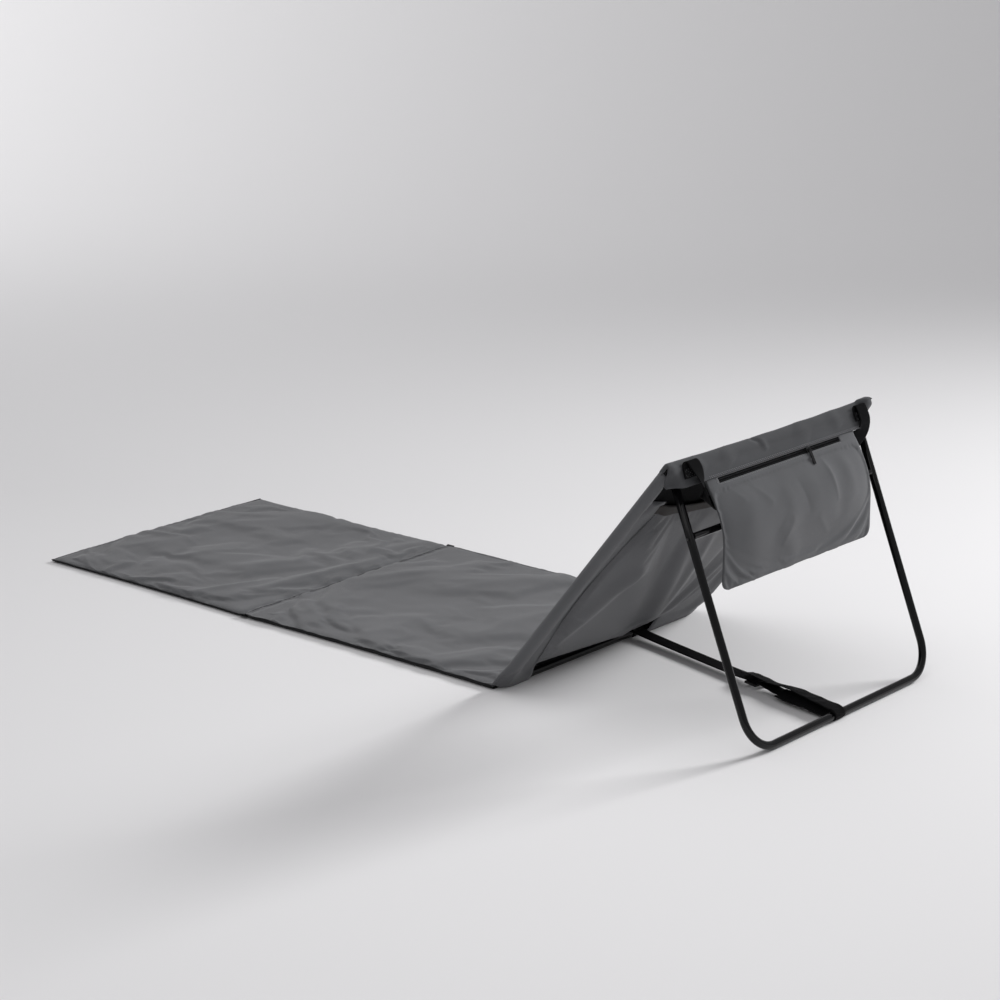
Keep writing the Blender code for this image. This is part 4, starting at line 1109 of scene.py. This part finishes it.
THREAD = plain_finish("grey_thread", (0.24, 0.24, 0.25), 0.70)
STITCH_STEP = 0.0042
STITCH_SIZE = Matrix.Diagonal((0.00145, 0.00038, 0.00030, 1.0))
HEM_LEAN = radians(24.5)
HEM_ROWS = (FLAP_ROWS - 1.0, FLAP_ROWS - 2.7)
HEM_REACH = 0.19
HEM_SHIFT = -0.02
HEM_LIFT = 0.0010
SEAM_ROWS = (0.0010, 0.0046)
SEAM_FIRST = 0.030
SEAM_LIFT = 0.0014
SLOT_ROW = 6.9
SLOT_LIFT = 0.0007
SLOT_END = SLOT_HALF + 0.0045
SLOT_END_PROUD = 0.0037


def stitch_places(places, outward):
    """Matrices of stitches end to end along a line of points, lying flat on the cloth."""
    matrices = []
    length = sum((far - near).length for near, far in zip(places, places[1:]))
    line = spaced(places, max(int(length / STITCH_STEP), 2))
    for near, far in zip(line, line[1:]):
        along = (far - near).normalized()
        flat = outward.cross(along).normalized()
        turn = Matrix((along, flat, along.cross(flat))).transposed().to_4x4()
        matrices.append(Matrix.Translation(near.lerp(far, 0.5)) @ turn @ STITCH_SIZE)
    return matrices


HEM_OUT = Vector((0, cos(HEM_LEAN), sin(HEM_LEAN)))
BACK_OUT = Vector((0, sin(BACK_ANGLE), -cos(BACK_ANGLE)))
OUT = Vector((0, cos(POCKET_LEAN), sin(POCKET_LEAN)))
spread = [-1 + step / 40 for step in range(81)]
heights = [SEAM_FIRST + (SLEEVE_TOP - 0.040) * step / 60 for step in range(61)]
sleeve_rows = []
for side in (1, -1):
    for inward in SEAM_ROWS:
        seam = [(seam_x(side, s) + inward, s) for s in heights]
        seam_line = [on_back(side * x, s, over_tube(x, s) + SEAM_LIFT) for x, s in seam]
        sleeve_rows += stitch_places(seam_line, BACK_OUT)
repeated("back_stitches", BEAD, sleeve_rows, THREAD, "backrest")

pocket_rows = []
for row in HEM_ROWS:
    hem_line = [flap_point(HEM_REACH * part + HEM_SHIFT, row, HEM_LIFT) for part in spread]
    pocket_rows += stitch_places(hem_line, HEM_OUT)
slot_line = []
for part in spread:
    u = (SLOT_HALF * part - POCKET_SHIFT) / POCKET_HALF
    slot_line.append(outer_panel(u, 1 - 2 * SLOT_ROW / POCKET_ROWS) + OUT * SLOT_LIFT)
pocket_rows += stitch_places(slot_line, OUT)
for end_x in (SLOT_END, -SLOT_END):
    end_line = [pocket_place(end_x, 0.003 + 0.0014 * step, SLOT_END_PROUD) for step in range(9)]
    pocket_rows += stitch_places(end_line, OUT)
repeated("pocket_stitches", BEAD, pocket_rows, THREAD, "pocket")


# Carry strap: black webbing sewn on the flap with a boxed patch at each end. It runs up from each patch,
# turns over on itself, hangs past the hem and then runs across behind the pocket.

WEB_WIDE = 0.025
WEB_THICK = 0.0010
CARRY_LEFT_X = 0.209
CARRY_RIGHT_X = -0.217
PATCH_CUT = (WEB_WIDE, 0.016)
PATCH_ROW = HEM_ROW - 9
PATCH_HALF_ROWS = 5.0
PATCH_LIFT = 0.0034
PATCH_CROWN = 0.0003
BOX_HALF = 0.0100
BOX_HALF_ROWS = 4.0
BOX_LIFT = 0.0042
FRAY_FROM = 0.8
ACROSS = Vector((1, 0, 0))


def ribbon(stations, rows, fray=0.0):
    """Webbing through stations of (middle, half-width direction), with its length; fray roughens its end."""
    middles = smoothed([Vector(middle) for middle, _ in stations])
    sides = smoothed([Vector(side).normalized() for _, side in stations])
    length = sum((far - near).length for near, far in zip(middles, middles[1:]))

    def web(u, v):
        """A point of the webbing, between the two smoothed stations next to it."""
        place = (v + 1) / 2 * (len(middles) - 1)
        low = min(int(place), len(middles) - 2)
        middle = middles[low].lerp(middles[low + 1], place - low)
        side = sides[low].lerp(sides[low + 1], place - low).normalized()
        along = (middles[low + 1] - middles[low]).normalized()
        ragged = fray * noise.noise((u * 9, 0.0, length * 50)) * max(v - FRAY_FROM, 0.0) / (1 - FRAY_FROM)
        return middle + side * (u * WEB_WIDE / 2) + along * ragged

    return draped(10, rows, (WEB_WIDE, length), web), length


def hung(x, drop, proud):
    """A point beside the pocket's slope, which may lie above the hem."""
    return HEM + ACROSS * x + DOWN * drop + OUT * proud


carry_stations = [
    (flap_point(CARRY_LEFT_X, HEM_ROW - 4, 0.0022), ACROSS),
    (flap_point(CARRY_LEFT_X, HEM_ROW - 13, 0.0024), ACROSS),
    (flap_point(CARRY_LEFT_X - 0.002, HEM_ROW - 19, 0.0036), ACROSS),
    (flap_point(CARRY_LEFT_X - 0.009, HEM_ROW - 19, 0.0072), ACROSS),
    (flap_point(CARRY_LEFT_X - 0.013, HEM_ROW - 12, 0.0074), ACROSS),
    (flap_point(CARRY_LEFT_X - 0.016, HEM_ROW - 2, 0.0072), ACROSS + OUT * 0.3),
    (hung(CARRY_LEFT_X - 0.018, 0.012, 0.0062), ACROSS * 0.8 + OUT * 0.6),
    (hung(CARRY_LEFT_X - 0.019, 0.024, 0.0020), ACROSS * 0.5 + OUT * 0.8 + DOWN * 0.3),
    (hung(CARRY_LEFT_X - 0.022, 0.033, -0.0045), ACROSS * 0.2 + OUT * 0.7 + DOWN * 0.7),
    (hung(CARRY_LEFT_X - 0.042, 0.037, -0.0065), DOWN + OUT * 0.2), (hung(0.130, 0.034, -0.0040), DOWN),
    (hung(0.040, 0.033, -0.0035), DOWN), (hung(-0.060, 0.032, -0.0035), DOWN),
    (hung(-0.140, 0.029, -0.0040), DOWN), (hung(CARRY_RIGHT_X + 0.034, 0.023, -0.0055), DOWN - OUT * 0.1),
    (hung(CARRY_RIGHT_X + 0.011, 0.014, -0.0035), DOWN * 0.7 - ACROSS * 0.6),
    (hung(CARRY_RIGHT_X - 0.002, 0.008, 0.0030), DOWN * 0.2 - ACROSS),
    (flap_point(CARRY_RIGHT_X - 0.006, HEM_ROW - 2, 0.0070), -ACROSS),
    (flap_point(CARRY_RIGHT_X - 0.007, HEM_ROW - 12, 0.0074), -ACROSS),
    (flap_point(CARRY_RIGHT_X - 0.004, HEM_ROW - 19, 0.0072), -ACROSS),
    (flap_point(CARRY_RIGHT_X, HEM_ROW - 19, 0.0036), -ACROSS),
    (flap_point(CARRY_RIGHT_X, HEM_ROW - 13, 0.0024), -ACROSS),
    (flap_point(CARRY_RIGHT_X, HEM_ROW - 4, 0.0022), -ACROSS)]
bm, carry_long = ribbon(carry_stations, 170)
as_sheet(piece_from("carry_web", bm, WEBBING, "backrest"),
         ["carry_strap"], WEB_THICK)

DARK_THREAD = plain_finish("black_thread", (0.045, 0.045, 0.047), 0.55)
BOX_CORNERS = [(-1, -1), (1, -1), (1, 1), (-1, 1), (-1, -1), (1, 1), (-1, 1), (1, -1)]
box_rows = []
for label, patch_x in (("left", CARRY_LEFT_X), ("right", CARRY_RIGHT_X)):
    bm = draped(12, 14, PATCH_CUT, lambda u, v: flap_point(
        patch_x + u * (WEB_WIDE / 2 + 0.0004), PATCH_ROW - v * PATCH_HALF_ROWS,
        PATCH_LIFT + PATCH_CROWN * (1 - u * u) * (1 - v * v)))
    as_sheet(piece_from("web_patch_" + label, bm, WEBBING, "backrest"),
             ["carry_strap_patch_" + label], WEB_THICK)
    line = []
    for a, b in BOX_CORNERS:
        line.append(flap_point(patch_x + a * BOX_HALF, PATCH_ROW - b * BOX_HALF_ROWS, BOX_LIFT))
    for near, far in zip(line, line[1:]):
        box_rows += stitch_places([near, far], HEM_OUT)
repeated("patch_stitches", BEAD, box_rows, DARK_THREAD, "backrest")


# Tube frames: two U shapes of 12 mm steel tube with a gloss black coat, one in the sleeves and one as
# the legs inside it, with a thinner bar screwed across the legs.

GLOSS_BLACK = plain_finish("black_powder_coat", (0.0035, 0.0035, 0.0040), 0.10, 0.0, 700.0, 0.03, 0.26)
LEG_LEAN = radians(21.7)
LEG_TUBE_X = 0.2289
LEG_PIVOT = Vector(joints["leg_fold"]["pos_m"])
BAR_Z = 0.0073
LEG_LENGTH = (LEG_PIVOT.z - BAR_Z) / cos(LEG_LEAN)
BACK_TUBE_OVERHANG = 0.0125
LEG_TUBE_OVERHANG = 0.0035
TUBE_WALL = 0.001
TUBE_SIDES = 28
CROSSBAR_RADIUS = 0.005


def bent_tube(name, half, tall, place, body, node):
    """A U of tube: extruded down one leg, spun round two corners and extruded up again, then placed."""
    bm = bmesh.new()
    ring = bmesh.ops.create_circle(
        bm, segments=TUBE_SIDES, radius=TUBE_RADIUS, matrix=Matrix.Translation((half, 0, tall)))["verts"]
    edges = list({edge for vert in ring for edge in vert.link_edges})

    def pull_on(edges, move):
        """Extrude the open end straight on."""
        grown = bmesh.ops.extrude_edge_only(bm, edges=edges)["geom"]
        verts = [item for item in grown if isinstance(item, bmesh.types.BMVert)]
        bmesh.ops.translate(bm, verts=verts, vec=move)
        return [item for item in grown if isinstance(item, bmesh.types.BMEdge)]

    def bend(edges, middle):
        """Spin the open end round a corner."""
        verts = list({vert for edge in edges for vert in edge.verts})
        last = bmesh.ops.spin(bm, geom=verts + edges, cent=middle, axis=(0, 1, 0), dvec=(0, 0, 0),
                              angle=pi / 2, steps=16, use_duplicate=False)["geom_last"]
        return [item for item in last if isinstance(item, bmesh.types.BMEdge)]

    edges = pull_on(edges, (0, 0, BEND_RADIUS - tall))
    edges = bend(edges, (half - BEND_RADIUS, 0, BEND_RADIUS))
    edges = pull_on(edges, (2 * (BEND_RADIUS - half), 0, 0))
    edges = bend(edges, (BEND_RADIUS - half, 0, BEND_RADIUS))
    pull_on(edges, (0, 0, tall - BEND_RADIUS))
    bmesh.ops.recalc_face_normals(bm, faces=bm.faces[:])
    bm.transform(place)
    piece = piece_from(name, bm, GLOSS_BLACK, body)
    wall = piece.modifiers.new("tube wall", "SOLIDIFY")
    wall.thickness = TUBE_WALL
    wall.offset = -1.0
    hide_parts(node)


back_foot = on_back(0, BAR_S, 0.0)
back_place = Matrix.Translation(back_foot) @ Matrix.Rotation(BACK_ANGLE - pi / 2, 4, "X")
back_tall = BACK_LENGTH + BACK_TUBE_OVERHANG
bent_tube("backrest_tube", TUBE_X, back_tall, back_place, "backrest", "backrest_frame_tube")
leg_foot = LEG_PIVOT + Vector((0, sin(LEG_LEAN), -cos(LEG_LEAN))) * LEG_LENGTH
leg_place = Matrix.Translation(leg_foot) @ Matrix.Rotation(LEG_LEAN, 4, "X")
leg_tall = LEG_LENGTH + LEG_TUBE_OVERHANG
bent_tube("leg_tube", LEG_TUBE_X, leg_tall, leg_place, "leg_frame", "leg_frame_tube")

bar_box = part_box("leg_crossbar")
bar_middle = (Vector(bar_box[0]) + Vector(bar_box[1])) / 2
bm = bmesh.new()
bmesh.ops.create_cone(
    bm, cap_ends=True, segments=TUBE_SIDES, radius1=CROSSBAR_RADIUS, radius2=CROSSBAR_RADIUS,
    depth=bar_box[1][0] - bar_box[0][0],
    matrix=Matrix.Translation(bar_middle) @ Matrix.Rotation(pi / 2, 4, "Y"))
cross_bar = piece_from("cross_bar", bm, GLOSS_BLACK, "leg_frame")
cross_bar.data.set_sharp_from_angle(angle=radians(40))
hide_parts("leg_crossbar")

DARK_ZINC = plain_finish("dark_zinc_steel", (0.16, 0.16, 0.165), 0.24, 1.0)
SIDES = ("left", "right")
dress(DARK_ZINC, *["pivot_washer_" + side for side in SIDES])
dress(GLOSS_BLACK, *[kind + "_" + side for kind in ("pivot_rivet", "crossbar_screw") for side in SIDES])
dress(BLACK_PLASTIC, *[kind + "_" + side for kind in ("backrest_end_plug", "leg_end_plug") for side in SIDES])


# Adjusting strap: black webbing looped round both floor bars and joined by a ladder buckle. The front run
# is taut; behind the buckle the spare webbing is doubled over, bunched and cut off roughly.

STRAP_FRONT = Vector((-0.088, back_foot.y, BAR_Z))
STRAP_REAR = Vector((0.022, leg_foot.y, BAR_Z))
STRAP_RUN = (STRAP_REAR - STRAP_FRONT).normalized()
STRAP_SIDE = Vector((STRAP_RUN.y, -STRAP_RUN.x, 0))
STRAP_LONG = (STRAP_REAR - STRAP_FRONT).length
BUCKLE_AT = 0.292
LOOP_RADIUS = TUBE_RADIUS + 0.0003 + WEB_THICK / 2
LEAST_WEB_HEIGHT = 0.0006
UP = Vector((0, 0, 1))


def strap_at(along, aside, height):
    """A point of the strap: metres from the backrest bar, to its side, and above the floor."""
    return STRAP_FRONT + STRAP_RUN * along + STRAP_SIDE * aside + UP * (height - BAR_Z)


def strap_piece(name, stations, rows, nodes, fray=0.0, ripple=0.0):
    """One run of the webbing, which stretches from the backrest bar to the leg bar."""
    bm, length = ribbon(stations, rows, fray)
    for vert in bm.verts:
        vert.co.z = max(vert.co.z + ripple * noise.noise(vert.co * 60), LEAST_WEB_HEIGHT)
    piece = piece_from(name, bm, WEBBING, None)
    as_sheet(piece, nodes, WEB_THICK)
    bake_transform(piece)


def strap_loop(name, centre, first, turn, radius, body, node):
    """A loop of webbing round a bar, its width along the bar."""
    angles = [first + turn * step / 14 for step in range(15)]
    stations = [(centre + Vector((0, cos(angle), sin(angle))) * radius, ACROSS) for angle in angles]
    bm, length = ribbon(stations, 40)
    piece = piece_from(name, bm, WEBBING, body)
    as_sheet(piece, [node], WEB_THICK)


strap_loop("front_loop", STRAP_FRONT, radians(-60), radians(300), LOOP_RADIUS,
           "backrest", "strap_backrest_loop")
strap_loop("rear_loop", STRAP_REAR, radians(240), radians(-300), LOOP_RADIUS + 0.0002,
           "leg_frame", "strap_leg_loop")

strap_piece("front_web", [
    (strap_at(0.0062, 0, 0.0105), ACROSS), (strap_at(0.030, 0, 0.0085), STRAP_SIDE),
    (strap_at(0.12, 0, 0.0078), STRAP_SIDE), (strap_at(0.25, 0, 0.0078), STRAP_SIDE),
    (strap_at(BUCKLE_AT - 0.013, 0, 0.0100), STRAP_SIDE),
    (strap_at(BUCKLE_AT - 0.006, 0, 0.0100), STRAP_SIDE),
    (strap_at(BUCKLE_AT - 0.005, 0, 0.0052), STRAP_SIDE)], 90, ["strap_web_front"])
strap_piece("rear_web", [
    (strap_at(BUCKLE_AT + 0.005, 0, 0.0052), STRAP_SIDE),
    (strap_at(BUCKLE_AT + 0.006, 0, 0.0100), STRAP_SIDE),
    (strap_at(BUCKLE_AT + 0.016, 0, 0.0098), STRAP_SIDE), (strap_at(0.35, 0.002, 0.0060), STRAP_SIDE),
    (strap_at(0.41, 0.003, 0.0090), STRAP_SIDE), (strap_at(STRAP_LONG - 0.0062, 0, 0.0045), ACROSS)],
    50, ["strap_web_rear"], ripple=0.0012)
strap_piece("spare_web", [
    (strap_at(BUCKLE_AT - 0.030, -0.004, 0.0130), STRAP_SIDE + UP * 0.15),
    (strap_at(BUCKLE_AT - 0.004, -0.002, 0.0155), STRAP_SIDE + UP * 0.3),
    (strap_at(0.325, -0.003, 0.0125), STRAP_SIDE + UP * 0.2),
    (strap_at(0.360, -0.005, 0.0180), STRAP_SIDE + UP * 0.25),
    (strap_at(0.405, -0.003, 0.0165), STRAP_SIDE + UP * 0.1),
    (strap_at(0.440, -0.001, 0.0165), ACROSS), (strap_at(STRAP_LONG - 0.006, 0, 0.0168), ACROSS),
    (strap_at(STRAP_LONG + 0.004, 0, 0.0162), ACROSS), (strap_at(STRAP_LONG + 0.0092, 0, 0.0110), ACROSS)],
    80, ["strap_tail"], ripple=0.0016)
strap_piece("cut_end", [
    (strap_at(STRAP_LONG - 0.010, 0.004, 0.0075), ACROSS - UP * 0.25),
    (strap_at(0.425, 0.008, 0.0090), STRAP_SIDE - UP * 0.3),
    (strap_at(0.385, 0.010, 0.0105), STRAP_SIDE - UP * 0.35),
    (strap_at(0.352, 0.009, 0.0085), STRAP_SIDE - UP * 0.2)],
    50, [], fray=0.007, ripple=0.0016)

BUCKLE_WIDE = 0.033
BUCKLE_THICK = 0.0040
BUCKLE_EDGE = 0.0008
RUNGS = ((-0.0103, 0.0034), (0.0, 0.0030), (0.0103, 0.0034))
RAIL_ASIDE = 0.0148
RAIL_SIZE = (0.0238, 0.0033)
buckle_turn = Matrix.Rotation(atan2(STRAP_RUN.y, STRAP_RUN.x), 4, "Z")
buckle_bars = [(rung, 0.0, thick, BUCKLE_WIDE) for rung, thick in RUNGS]
buckle_bars += [(0.0, side * RAIL_ASIDE, *RAIL_SIZE) for side in (1, -1)]
bm = bmesh.new()
for along, aside, long, wide in buckle_bars:
    bar_place = Matrix.Translation(strap_at(BUCKLE_AT + along, aside, BAR_Z))
    bar_size = Matrix.Diagonal((long, wide, BUCKLE_THICK, 1.0))
    bmesh.ops.create_cube(bm, size=1.0, matrix=bar_place @ buckle_turn @ bar_size)
bmesh.ops.bevel(
    bm, geom=bm.edges[:], offset=BUCKLE_EDGE, segments=2, profile=0.5, affect="EDGES", material=-1)
buckle = piece_from("ladder_lock", bm, BLACK_PLASTIC, None)
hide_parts("ladder_buckle")
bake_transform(buckle)
